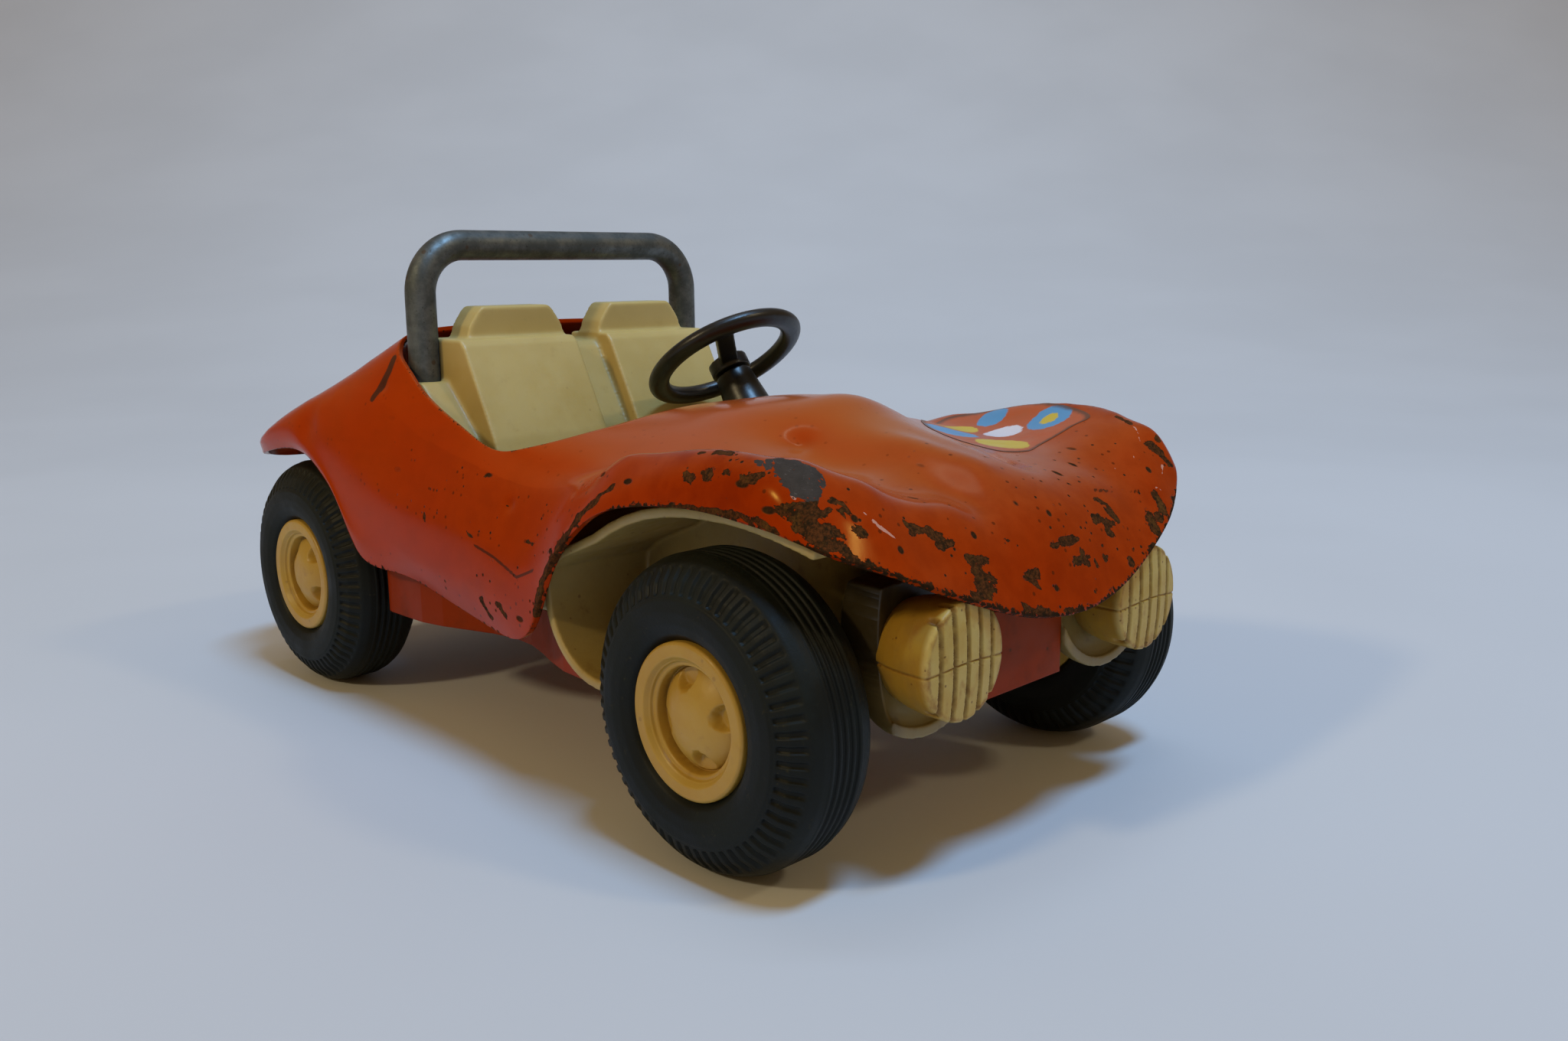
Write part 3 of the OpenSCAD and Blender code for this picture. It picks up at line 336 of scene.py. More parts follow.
def tyre_rubber():
    """Blue-black moulded rubber with a dull bloom, dust and flecks."""
    s = Shader("tyre_rubber")
    bloom = s.noise(5, 4, 0.6)
    colour = s.mix(s.step(bloom, 0.35, 0.7), rgb(14, 18, 15), rgb(21, 26, 22))
    grains = s.step(s.noise(0.5, 4, 0.7), 0.58, 0.72)
    dust = s.times(grains, s.step(s.noise(4, 2, 0.5), 0.5, 0.66))
    colour = s.mix(s.times(dust, 0.35), colour, rgb(74, 68, 34))
    colour = s.mix(s.times(s.specks(2.2, 0.07, 0.10), 0.8), colour, rgb(160, 156, 120))
    return s.finish(
        base_color=colour,
        roughness=s.step(bloom, 0.3, 0.7, 0.46, 0.62),
        normal=s.bump(s.noise(0.35, 4, 0.6), 0.03, 0.7),
        specular_ior_level=0.2,
    )


def worn_steel(name, dark, light, blotch, roughness, metallic=0.75):
    """Steel whose dull plating has worn in blotches and fine scratches."""
    s = Shader(name)
    worn = s.noise(blotch, 6, 0.68)
    colour = s.mix(s.step(worn, 0.36, 0.66), dark, light)
    colour = s.mix(s.step(s.noise(0.5, 4, 0.7), 0.60, 0.70, 0.0, 0.55), colour, rgb(28, 25, 22))
    colour = s.mix(s.times(s.specks(2.2, 0.2, 0.2), 0.6), colour, rgb(84, 62, 40))
    return s.finish(
        base_color=colour,
        metallic=metallic,
        roughness=s.step(worn, 0.3, 0.7, roughness + 0.12, roughness - 0.05),
        normal=s.bump(s.noise(0.6, 5, 0.65), 0.04, 0.7),
    )


def black_plastic():
    """Shiny black moulding, scuffed to grey on its high spots."""
    s = Shader("black_plastic")
    scuff = s.step(s.noise(1.6, 5, 0.65), 0.55, 0.75)
    colour = s.mix(s.times(scuff, 0.5), rgb(17, 17, 18), rgb(40, 40, 41))
    return s.finish(
        base_color=colour,
        roughness=s.blend(scuff, 0.34, 0.52),
        normal=s.bump(s.noise(0.8, 4, 0.55), 0.03, 0.6, under=s.soft_edge(0.2)),
    )


def gear_brass():
    """Stamped brass, tarnished in clouds."""
    s = Shader("gear_brass")
    tarnish = s.noise(2.5, 5, 0.6)
    return s.finish(
        base_color=s.mix(s.step(tarnish, 0.4, 0.7), rgb(196, 158, 88), rgb(110, 82, 40)),
        metallic=0.9,
        roughness=s.step(tarnish, 0.3, 0.7, 0.26, 0.42),
        normal=s.bump(s.noise(0.3, 3, 0.5), 0.01, 0.5, under=s.soft_edge(0.08)),
    )


def decal_print():
    """Plain discs in worn ink on a ground that has browned."""
    s = Shader("decal_print")
    ground = s.mix(s.noise(2.0, 4, 0.6), rgb(190, 84, 36), rgb(170, 92, 58))
    wobble = s.times(s.math("SUBTRACT", s.noise(0.8, 3, 0.6), 0.5), 0.9)
    place = s.node("ShaderNodeSeparateXYZ")
    s.put(place.inputs[0], s.node("ShaderNodeUVMap").outputs["UV"])

    def disc(x, y, radius):
        aside = s.math("POWER", s.math("SUBTRACT", place.outputs[0], x / DECAL_SPAN), 2.0)
        ahead = s.math("POWER", s.math("SUBTRACT", place.outputs[1], y / DECAL_SPAN), 2.0)
        off = s.times(s.math("SQRT", s.math("ADD", aside, ahead)), DECAL_SPAN)
        return s.step(s.math("ADD", off, wobble), radius - 0.15, radius + 0.15, 1.0, 0.0)

    colour = ground
    for x, y, radius, ink in DECAL_DISCS:
        colour = s.mix(disc(x, y, radius), colour, ink)
    worn = s.math("ADD", s.field("rim"), s.times(wobble, 0.06))
    colour = s.mix(s.step(worn, 0.90, 0.98, 0.0, 0.85), colour, rgb(84, 54, 36))
    return s.finish(
        base_color=colour,
        roughness=s.step(s.noise(3, 3, 0.5), 0.3, 0.7, 0.34, 0.46),
        normal=s.bump(s.noise(0.9, 4, 0.55), 0.02, 0.5),
    )


# ---------------- mesh kit


def ramp(values, start, end):
    """0 up to start, 1 from end on, and a straight line between them; end may be the smaller."""
    return np.clip((values - start) / (end - start), 0, 1)


def in_scene(name, data):
    """A new object in the scene."""
    made = bpy.data.objects.new(name, data)
    bpy.context.scene.collection.objects.link(made)
    return made


def add_piece(name, mesh, body, slot, *nodes):
    """A new piece in the frame, riding on a body and standing for CAD nodes."""
    piece = in_scene(name, mesh)
    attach(piece, body)
    if nodes:
        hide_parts(*nodes)
    return piece


def body_of(node):
    return next(b for b, members in frame["record"]["behaviour"]["bodies"].items() if node in members)


def box_of(node):
    """The low and high corners of a CAD node in millimetres."""
    return [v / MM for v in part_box(node)]


def welded(node):
    """A bmesh copy of a CAD node with its split vertices joined."""
    bm = bmesh.new()
    bm.from_mesh(frame["nodes"][node].data)
    bmesh.ops.remove_doubles(bm, verts=bm.verts, dist=0.0005 * MM)
    return bm


def applied(piece):
    """Turns a piece's modifiers into its mesh."""
    bpy.context.view_layer.update()
    ready = piece.evaluated_get(bpy.context.evaluated_depsgraph_get())
    mesh = bpy.data.meshes.new_from_object(ready)
    piece.modifiers.clear()
    piece.data = mesh
    return mesh


def smooth(mesh):
    mesh.polygons.foreach_set("use_smooth", np.ones(len(mesh.polygons), bool))
    mesh.update()


def points_of(mesh):
    """The vertices as an array in millimetres."""
    co = np.empty(len(mesh.vertices) * 3, np.float32)
    mesh.vertices.foreach_get("co", co)
    return co.reshape(-1, 3).astype(float) / MM


def move_points(mesh, points):
    mesh.vertices.foreach_set("co", (points * MM).astype(np.float32).ravel())
    mesh.update()


def normals_of(mesh):
    """The vertices' normals as an array."""
    n = np.empty(len(mesh.vertices) * 3, np.float32)
    mesh.vertex_normals.foreach_get("vector", n)
    return n.reshape(-1, 3).astype(float)


def set_field(mesh, name, values):
    """Leaves a number on each vertex, for the materials to read."""
    layer = mesh.attributes.new(name, "FLOAT", "POINT")
    layer.data.foreach_set("value", np.asarray(values, np.float32))


def moulded_copy(node, name, slot, grain, passes):
    """A CAD node's shape as a moulding has it, with soft edges: remeshed finely, then relaxed."""
    bm = welded(node)
    mesh = bpy.data.meshes.new(name)
    bm.to_mesh(mesh)
    bm.free()
    piece = add_piece(name, mesh, body_of(node), slot, node)
    remesh = piece.modifiers.new("remesh", "REMESH")
    remesh.mode = "VOXEL"
    remesh.voxel_size = grain * MM * 1
    relax = piece.modifiers.new("relax", "SMOOTH")
    relax.factor = 0.5
    relax.iterations = passes
    smooth(applied(piece))
    return piece


# The bowl behind each headlamp: its middle, its rim, its radius and depth in the CAD, and the share of that
# depth that stays
BOWL_X, BOWL_Z = 17.3, 27.0
BOWL_RIM_Y = -64.5
BOWL_RADIUS, BOWL_DEPTH = 11.0, 8.0
BOWL_KEPT = 0.33


def flatten_reflector(piece):
    """Presses the bowl behind the lamp to a share of its depth, and marks the painted shade over it,
    darkest high up and on its outer side.
    """
    points = points_of(piece.data)
    side = math.copysign(BOWL_X, points[:, 0].mean())
    away = np.hypot(points[:, 0] - side, points[:, 2] - BOWL_Z)
    deep = points[:, 1] - BOWL_RIM_Y
    bowl = BOWL_DEPTH * np.sqrt(np.clip(1 - (away / BOWL_RADIUS) ** 2, 0, 1))
    inside = (deep > 0) & (deep < bowl)
    points[inside, 1] = BOWL_RIM_Y + BOWL_KEPT * deep[inside]
    move_points(piece.data, points)
    # Painted shade on the reflector by the lamp, darkest high up and outwards, under the fender and beside
    # the tyre
    high = ramp(points[:, 2], 21, 28)
    outer = ramp(np.abs(points[:, 0]), 21, 24)
    near = ramp(points[:, 1], -50, -55) * ramp(away, 13.5, 12.0)
    set_field(piece.data, "grime_and_painted_shade", near * np.clip(0.42 + 0.50 * high + 0.40 * outer, 0, 0.96))


def revolved(profile, turns):
    """Rings of points round the X axis from (x, radius) pairs, shaped (turns, profile, 3)."""
    angles = np.arange(turns) * 2 * math.pi / turns
    x = np.array([p[0] for p in profile])
    r = np.array([p[1] for p in profile])
    grid = np.empty((turns, len(profile), 3))
    grid[..., 0] = x
    grid[..., 1] = np.cos(angles)[:, None] * r
    grid[..., 2] = np.sin(angles)[:, None] * r
    return grid, angles


def grid_mesh(name, grid, closed_rows=False, marks=None):
    """A quad mesh from a grid of points whose columns go round; rows may close too. Marks are fields."""
    columns, rows = grid.shape[:2]
    faces = []
    for c in range(columns):
        d = (c + 1) % columns
        for r in range(rows if closed_rows else rows - 1):
            q = (r + 1) % rows
            faces.append((c * rows + r, c * rows + q, d * rows + q, d * rows + r))
    mesh = bpy.data.meshes.new(name)
    mesh.from_pydata((grid.reshape(-1, 3) * MM).tolist(), [], faces)
    for field, values in (marks or {}).items():
        set_field(mesh, field, values.ravel())
    bm = bmesh.new()
    bm.from_mesh(mesh)
    bmesh.ops.remove_doubles(bm, verts=bm.verts, dist=0.0005 * MM)
    bmesh.ops.recalc_face_normals(bm, faces=bm.faces)
    bm.to_mesh(mesh)
    bm.free()
    smooth(mesh)
    return mesh


def add_grid(node, name, grid, slot, finish, **options):
    """A piece made from a grid of points, standing for a CAD node."""
    mesh = grid_mesh(name, grid, **options)
    mesh.materials.append(finishes[finish])
    add_piece(name, mesh, body_of(node), slot, node)


def rounded_line(corners, radius, steps=3):
    """The line through corners with each inner corner rounded."""
    out = [corners[0]]
    for a, b, c in zip(corners, corners[1:], corners[2:]):
        a, b, c = (Vector(p) for p in (a, b, c))
        cut = min(radius, (a - b).length * 0.45, (c - b).length * 0.45)
        p, q = b + (a - b).normalized() * cut, b + (c - b).normalized() * cut
        for t in (i / steps for i in range(steps + 1)):
            out.append(tuple(p * (1 - t) ** 2 + b * 2 * t * (1 - t) + q * t**2))
    return out + [corners[-1]]


def dense_line(line, spacing):
    """The line with points added, so that none is much further than spacing from the next."""
    out = []
    for a, b in zip(line, line[1:]):
        parts = max(1, int(math.dist(a, b) / spacing))
        out += [tuple(Vector(a).lerp(Vector(b), t / parts)) for t in range(parts)]
    return out + [line[-1]]


# ---------------- pressed body

# Paint worn away, as strokes over the sheet: from, to and half width. Their ends, here and in the lists
# down to SLIT, were picked on the photo by eye and cast onto the sheet by a separate script.
RIGHT_FENDER_CHIPS = [
    ((-34, -59, 41), (-34, -59.5, 41), 0.52),
    ((-33.5, -59.5, 41.5), (-33, -60.5, 41.5), 0.42),
    ((-33, -60.5, 41.5), (-32, -61.5, 41.5), 0.52),
    ((-31.5, -61.5, 42), (-32, -61.5, 41), 0.52),
    ((-33.5, -61, 40.5), (-32.5, -62, 40.5), 0.72),
    ((-32.5, -61.5, 41), (-31.5, -62.5, 41), 0.52),
    ((-31, -62.5, 41), (-30, -62.5, 41), 0.32),
    ((-30, -62, 42), (-29, -62.5, 41.5), 0.32),
    ((-29, -62.5, 41.5), (-28.5, -63.5, 41), 0.3),
    ((-29.5, -63, 41), (-29.5, -63.5, 40), 0.32),
    ((-33.5, -61, 39.5), (-32.5, -62.5, 39.5), 0.62),
    ((-32.5, -62.5, 39.5), (-31, -63.5, 39), 0.62),
    ((-31, -64, 39), (-30.5, -64, 39), 0.42),
    ((-33, -62.5, 38.5), (-31.5, -64.5, 38), 0.72),
    ((-31.5, -64.5, 38), (-30.5, -65.5, 37), 0.72),
    ((-30.5, -65.5, 37), (-30, -66, 36.5), 0.42),
    ((-28.5, -64.5, 39), (-28.5, -65, 39), 0.62),
    ((-29, -64, 39.5), (-29, -64.5, 39.5), 0.3),
    ((-34.5, -56, 40), (-34.5, -58, 40), 0.42),
    ((-35, -45.5, 40), (-35, -46.5, 40), 0.52),
    ((-35, -52, 40), (-35, -53, 40), 0.32),
    ((-34, -46, 43), (-34.5, -47, 43), 0.62),
    ((-34, -49, 43.5), (-34, -49.5, 43.5), 0.72),
    ((-34, -51.5, 44), (-34, -52, 44), 0.32),
    ((-34, -54, 43.5), (-33.5, -56, 44), 0.62),
    ((-32, -48, 45.5), (-32, -50.5, 45.5), 0.42),
    ((-32, -45.5, 45), (-32, -46.5, 45.5), 0.32),
    ((-22, -65, 39), (-21, -65, 38.5), 0.42),
    ((-21.5, -65.5, 38), (-19.5, -65.5, 38), 0.52),
    ((-19.5, -65.5, 38), (-18, -66, 37), 0.62),
    ((-18.5, -66.5, 36.5), (-17, -66.5, 36.5), 0.62),
]
NOSE_CHIPS = [
    ((-15.5, -68, 34.5), (-13.5, -68, 34), 0.62),
    ((-15.5, -68.5, 33.5), (-14.5, -68.5, 33.5), 0.62),
    ((-15, -69, 33), (-13.5, -69, 32.5), 0.72),
    ((-16, -69.5, 32), (-14, -69.5, 31.5), 0.92),
    ((-17, -70, 31.5), (-15, -70, 31), 0.62),
    ((-7.5, -69.5, 31.5), (-6, -70, 31.5), 0.62),
    ((-6.5, -70, 31), (-6.5, -70.5, 30.5), 0.32),
    ((-1.5, -69, 34), (0.5, -69, 34), 0.52),
    ((0.5, -69, 34), (3, -68.5, 34), 0.52),
    ((1, -70, 32), (4, -70, 32), 0.52),
    ((3, -69.5, 32.5), (3.5, -70, 31.5), 0.52),
    ((7.5, -70, 31.5), (7.5, -70, 31.5), 0.52),
    ((5, -70, 31), (5, -70, 31), 0.42),
    ((3, -71, 28.5), (3, -71, 28.5), 0.42),
    ((-8.5, -67.5, 35.5), (-8.5, -67.5, 35.5), 0.32),
    ((12, -70.5, 30.5), (12, -70.5, 30), 0.52),
    ((-10, -71, 29), (-6, -71.5, 28), 0.42),
    ((-3.5, -71.5, 27.5), (-1, -72, 27.5), 0.32),
]
LEFT_FENDER_CHIPS = [
    ((11, -66, 37), (12.5, -66.5, 36.5), 0.42),
    ((12.5, -67, 36), (13, -67.5, 35), 0.72),
    ((8.5, -67.5, 35.5), (11.5, -68, 34.5), 0.62),
    ((10.5, -68, 34.5), (10.5, -68.5, 33.5), 0.72),
    ((23.5, -67, 36), (23, -68, 34.5), 0.82),
    ((20, -68, 34), (19.5, -69.5, 32.5), 1),
    ((21.5, -68.5, 34), (21.5, -68.5, 33.5), 0.72),
    ((28.5, -63, 41.5), (29.5, -64, 40.5), 0.82),
    ((29.5, -64.5, 40), (30, -65, 39), 0.52),
    ((30.5, -63, 42), (30.5, -63, 42), 0.52),
    ((30, -57, 44.5), (29.5, -59.5, 44), 0.42),
    ((8, -69.5, 32.5), (8, -69.5, 32.5), 0.3),
]
SIDE_CHIPS = [
    ((-30.5, -2, 38), (-30.5, -2, 38), 0.4),
    ((-31.5, -8.5, 35), (-31.5, -8.5, 35), 0.3),
    ((-33, -14.5, 31.5), (-33, -16, 31), 0.4),
    ((-33, -0.5, 31), (-33, -2.5, 30.5), 0.2),
    ((-34, -9, 23), (-34, -10.5, 22), 0.6),
    ((-33.5, -4.5, 22.5), (-33, -6.5, 20.5), 0.5),
    ((-33, 5, 23.5), (-33, 5, 22.5), 0.3),
    ((-33, 9.5, 32), (-33, 9, 31), 0.2),
    ((-31.5, -17, 35.5), (-31.5, -17, 35.5), 0.2),
    ((-34, -21.5, 31.5), (-34.5, -23, 31), 0.4),
]
# Rust round the wheel arch of the right fender
ARCH_CHIPS = [
    ((-34, -33.5, 40.5), (-34.5, -31, 39), 0.4),
    ((-34.5, -31, 39), (-34.5, -28, 36.5), 0.6),
    ((-34.5, -28, 36.5), (-35, -23.5, 32), 0.6),
    ((-35, -23.5, 32), (-34.5, -19.5, 27.5), 0.6),
    ((-34.5, -19.5, 27.5), (-34.5, -18, 23.5), 0.6),
    ((-35, -45, 40), (-35, -50.5, 40), 0.4),
    ((-35, -50.5, 40), (-34.5, -55, 40), 0.4),
    ((-34.5, -55, 40), (-34.5, -59.5, 39), 0.4),
]
# Down to bare steel along the crest of the right fender
BARE_STEEL = [
    ((-32, -54.5, 45.5), (-32.5, -55, 45), 0.4),
    ((-31.5, -55.5, 45.5), (-32.5, -56.5, 45), 0.5),
    ((-31, -56, 45.5), (-32.5, -58, 44.5), 0.65),
    ((-31, -57.5, 45.5), (-32.5, -59, 43.5), 0.75),
    ((-30.5, -58, 45), (-32, -60, 43), 0.75),
    ((-30, -59, 45), (-31.5, -60.5, 42.5), 0.75),
    ((-29.5, -59.5, 44.5), (-31, -61, 42.5), 0.65),
    ((-29, -60.5, 44), (-29.5, -61, 43.5), 0.45),
]
# Paint rubbed pale
WHITE_SCUFFS = [
    ((-26.5, -64.5, 39.5), (-26, -65, 39.5), 0.3),
    ((-26, -65, 39), (-25, -65.5, 38), 0.2),
    ((-25, -66, 38), (-24.5, -66, 37.5), 0.1),
    ((-28, -63.5, 41), (-27, -64, 40.5), 0.1),
    ((29, -60.5, 43.5), (27.5, -62, 42), 0.2),
    ((25, -62.5, 41), (24, -63.5, 39.5), 0.1),
    ((20.5, -62.5, 39.5), (20, -63, 39), 0.1),
    ((16, -64, 38.5), (14.5, -65.5, 37.5), 0.1),
    ((28.5, -65, 39), (27.5, -65.5, 38), 0.2),
    ((24, -66.5, 37), (25, -66.5, 36.5), 0.2),
    ((-32.5, -59.5, 43), (-32.5, -60.5, 42), 0.2),
    ((-31, -61.5, 42.5), (-31, -62, 41.5), 0.2),
    ((-31, -62, 41), (-31, -62.5, 41), 0.1),
]
# Hairline scratches along the door and across the left fender
SCRATCHES = [
    ((-33, -3.5, 29.5), (-33.5, -7.5, 28.5), 0.22),
    ((-33.5, -7.5, 28.5), (-33.5, -13.5, 27), 0.22),
    ((-33.5, -13.5, 27), (-34, -17, 28.5), 0.22),
    ((12.5, -65, 38), (21, -66, 37), 0.22),
]
# The crease that runs down from the roll bar's foot
SLIT = [
    ((-27.5, 25, 51.5), (-28.5, 25, 50), 0.85),
    ((-28.5, 25, 50), (-29.5, 26, 47.5), 0.85),
    ((-29.5, 26, 47.5), (-30, 27, 46), 0.68),
]
# Rises and hollows of the fenders and the hood, not quite alike on both sides: x, y, height, reach along x
# and along y
RELIEF = [
    (-30.5, -31, 1.4, 4, 5),
    (-27, -36, 0.5, 6, 8),
    (-25, -52, 1.2, 5, 7),
    (-30, -58.5, 1, 3.5, 3),
    (-20.5, -59, 1.4, 4.5, 5),
    (-24.5, -62, 1, 3.5, 2.5),
    (-18.5, -64, 0.9, 4, 2.5),
    (-14, -64.5, 0.8, 4, 3.5),
    (-11.5, -44, -1.9, 4, 10),
    (-14, -57, -0.7, 3.5, 4),
    (-9, -61, -1.1, 3, 5),
    (-5, -52, 0.8, 2.5, 6),
    (-3, -59, 0.5, 2.5, 3.5),
    (1.5, -36.5, 0.9, 7, 4),
    (6, -49, -0.5, 4, 5),
    (7, -57, -0.8, 5, 5),
    (11.5, -44, -0.8, 4, 10),
    (14, -64.5, 0.4, 4, 3.5),
    (20, -33, 0.5, 4, 4),
    (20.5, -59, 0.9, 4.5, 5),
    (25, -52, 0.5, 5, 7),
    (27, -36, 0.3, 6, 6),
    (29.5, -29.5, 1.5, 4.5, 4.5),
    (31.5, -63, 1.9, 2.5, 3.5),
]
# Small hollows in the sheet: centre, radius, depth
DENTS = [
    ((-10.3, -38.8, 43.6), 1.8, 0.7),
    ((-33.0, 42.5, 41.3), 2.6, 0.45),
    ((-31.4, -8.8, 35.2), 0.9, 0.30),
    ((-29.2, 25.2, 47.8), 0.8, 0.25),
]


# Blender would seed this noise from the clock
TORN_SEED = 1795339617


def stirred(points, size=1.1, reach=0.45):
    """The points shifted by a smooth noise, so that patches drawn in them come out torn."""
    noise.seed_set(TORN_SEED)
    return points + np.array([noise.noise_vector(Vector(p / size)) for p in points]) * reach


def capsule_field(points, strokes, at=None):
    """1 on the strokes' centre lines and 0 at their edges, going down to -1.

    The strokes' ends snap to the points, which may be measured from other places, given in at.
    """
    at = points if at is None else at
    best = np.full(len(points), -1.0)
    for start, end, half in strokes:
        a, b = (points[np.linalg.norm(points - np.array(p), axis=1).argmin()] for p in (start, end))
        near = np.abs(points - (a + b) / 2).max(1) < np.abs(b - a).max() / 2 + 3 * half
        p = at[near]
        along = np.clip((p - a) @ (b - a) / max((b - a) @ (b - a), 1e-9), 0, 1)
        away = np.linalg.norm(p - a - along[:, None] * (b - a), axis=1)
        best[near] = np.maximum(best[near], np.clip(1 - away / half, -1, 1))
    return best


def edge_distance(points, rim):
    """How far each point is from the nearest of the rim's points."""
    tree = KDTree(len(rim))
    for i, p in enumerate(rim):
        tree.insert(p, i)
    tree.balance()
    return np.array([tree.find(p)[2] for p in points])


def is_cut(edge):
    """Whether an edge of the CAD skin is the corner of a cut rim, and not a facet of the pressing."""
    return len(edge.link_faces) == 2 and edge.calc_face_angle() > math.radians(55)


def rim_points(bm, lower):
    """Points along the sheet's cut edges: the outline below, or the cockpit's opening above."""
    out = []
    for e in bm.edges:
        if is_cut(e):
            p, q = (v.co / MM for v in e.verts)
            mid = (p + q) / 2
            cockpit = abs(mid.x) < 29.4 and -16 < mid.y < 29 and mid.z > 39
            if cockpit != lower:
                out += [p.lerp(q, t / 4) for t in range(4)]
    return out


def press_relief(mesh):
    """Raises the ridges and sinks the valleys of the sheet."""
    points = points_of(mesh)
    lift = np.zeros(len(points))
    for x, y, height, reach_x, reach_y in RELIEF:
        across, along = (points[:, 0] - x) / reach_x, (points[:, 1] - y) / reach_y
        lift += height * np.exp(-(across**2) - along**2)
    points[:, 2] += lift
    move_points(mesh, points)


def press_dents(mesh):
    """Sinks the small hollows along the sheet's normal at their middles."""
    points, normals = points_of(mesh), normals_of(mesh)
    for centre, radius, depth in DENTS:
        away = np.linalg.norm(points - np.array(centre), axis=1)
        facing = normals[away.argmin()]
        points -= np.outer(depth * np.exp(-((away / radius) ** 2)), facing)
    move_points(mesh, points)


def wear_of(points):
    """Where small nicks gather: most on the fenders' crests and the nose, least at the tail."""
    outwards, y = np.abs(points[:, 0]), points[:, 1]
    nose = ramp(y, -48, -70)
    fender = np.exp(-(((y + 50) / 20) ** 2)) * ramp(outwards, 24, 32)
    side = 0.42 * np.exp(-(((y + 6) / 26) ** 2)) * (outwards > 30)
    return np.clip(np.maximum(np.maximum(0.75 * nose, fender), side) + 0.06, 0, 1)


def mark_wear(mesh, low_rim, top_rim):
    """Leaves the fields that say where the body's paint is chipped, scuffed, scratched and worn, and where
    its upward faces take a painted sheen.
    """
    points = points_of(mesh)
    torn = stirred(points)
    wear = wear_of(points)
    low, top = edge_distance(points, low_rim), edge_distance(points, top_rim)
    front = np.clip((-8 - points[:, 1]) / 30, 0.5, 1)
    chips = RIGHT_FENDER_CHIPS + NOSE_CHIPS + LEFT_FENDER_CHIPS + SIDE_CHIPS + ARCH_CHIPS + BARE_STEEL
    across, along = points[:, 0] / 16, (points[:, 1] + 45) / 18
    hood = np.exp(-(across**2) - along**2)
    facing_up = np.clip(normals_of(mesh)[:, 2], 0, 1)
    fields = {
        "edge": np.maximum(np.exp(-low / 0.75) * (0.55 + 0.75 * front), 0.9 * np.exp(-top / 0.35)),
        "chips": np.maximum(capsule_field(points, chips, torn), -0.35 - 1.2 * (1 - wear)),
        "bare": np.clip(capsule_field(points, BARE_STEEL, torn) * 2 + 1.2, 0, 1),
        "scuff": capsule_field(points, WHITE_SCUFFS, torn),
        "scratch": np.clip(capsule_field(points, SCRATCHES) + 0.2, 0, 1),
        "slit": np.clip(capsule_field(points, SLIT), 0, 1),
        "wear": wear,
        # Painted sheen: strongest on faces that look up, most of all on the hood
        "fade_and_painted_top_light": facing_up**3 * (0.52 + 0.48 * hood),
    }
    for name, values in fields.items():
        set_field(mesh, name, values)


def pressed_body():
    """The steel pressing: its CAD skin subdivided to a smooth sheet, dented and worn."""
    bm = welded("body_shell")
    low_rim = rim_points(bm, lower=True)
    top_rim = rim_points(bm, lower=False)
    crease = bm.edges.layers.float.new("crease_edge")
    for e in bm.edges:
        if is_cut(e):
            e[crease] = 0.75
    bmesh.ops.join_triangles(
        bm, faces=bm.faces, angle_face_threshold=math.radians(50), angle_shape_threshold=math.pi
    )
    mesh = bpy.data.meshes.new("pressed_body")
    bm.to_mesh(mesh)
    bm.free()
    piece = add_piece("pressed_body", mesh, body_of("body_shell"), "orange_paint", "body_shell")
    finer = piece.modifiers.new("finer", "SUBSURF")
    finer.levels = finer.render_levels = 3
    mesh = applied(piece)
    smooth(mesh)
    press_relief(mesh)
    press_dents(mesh)
    mark_wear(mesh, low_rim, top_rim)
    mesh.materials.clear()
    mesh.materials.append(finishes["orange_paint"])
    return piece


# ---------------- decal

# Its outline from above, its print's corner, and the length that the print's coordinates count as 1
DECAL_OUTLINE = [
    (14, -38), (20, -33), (28, -31), (31, -38), (31, -46), (28.5, -54), (25, -53.5),
    (20, -52.5), (15, -53.5), (10.5, -52), (11, -47), (11.5, -42),
]
DECAL_CORNER = (9.5, -55.0)
DECAL_SPAN = 24.0
# Its discs: x and y from the corner, radius and ink
DECAL_DISCS = [
    (7.0, 14.5, 3.6, rgb(90, 148, 190)),
    (13.5, 18.5, 3.0, rgb(206, 178, 60)),
    (7.5, 6.5, 3.4, rgb(206, 178, 60)),
    (14.5, 11.5, 2.6, rgb(222, 216, 220)),
    (19.0, 16.5, 2.1, rgb(90, 148, 190)),
    (18.0, 6.5, 2.9, rgb(90, 148, 190)),
    (18.0, 6.5, 1.2, rgb(206, 178, 60)),
]


def closed_curve(corners, steps):
    """A closed Catmull-Rom curve through the corners."""
    p = np.array(corners, float)
    before, after, further = np.roll(p, 1, 0), np.roll(p, -1, 0), np.roll(p, -2, 0)
    out = []
    for t in (k / steps for k in range(steps)):
        bend = (2 * before - 5 * p + 4 * after - further) * t * t
        out.append(p + 0.5 * ((after - before) * t + bend + (3 * p - before - 3 * after + further) * t**3))
    return np.stack(out, 1).reshape(-1, 2)


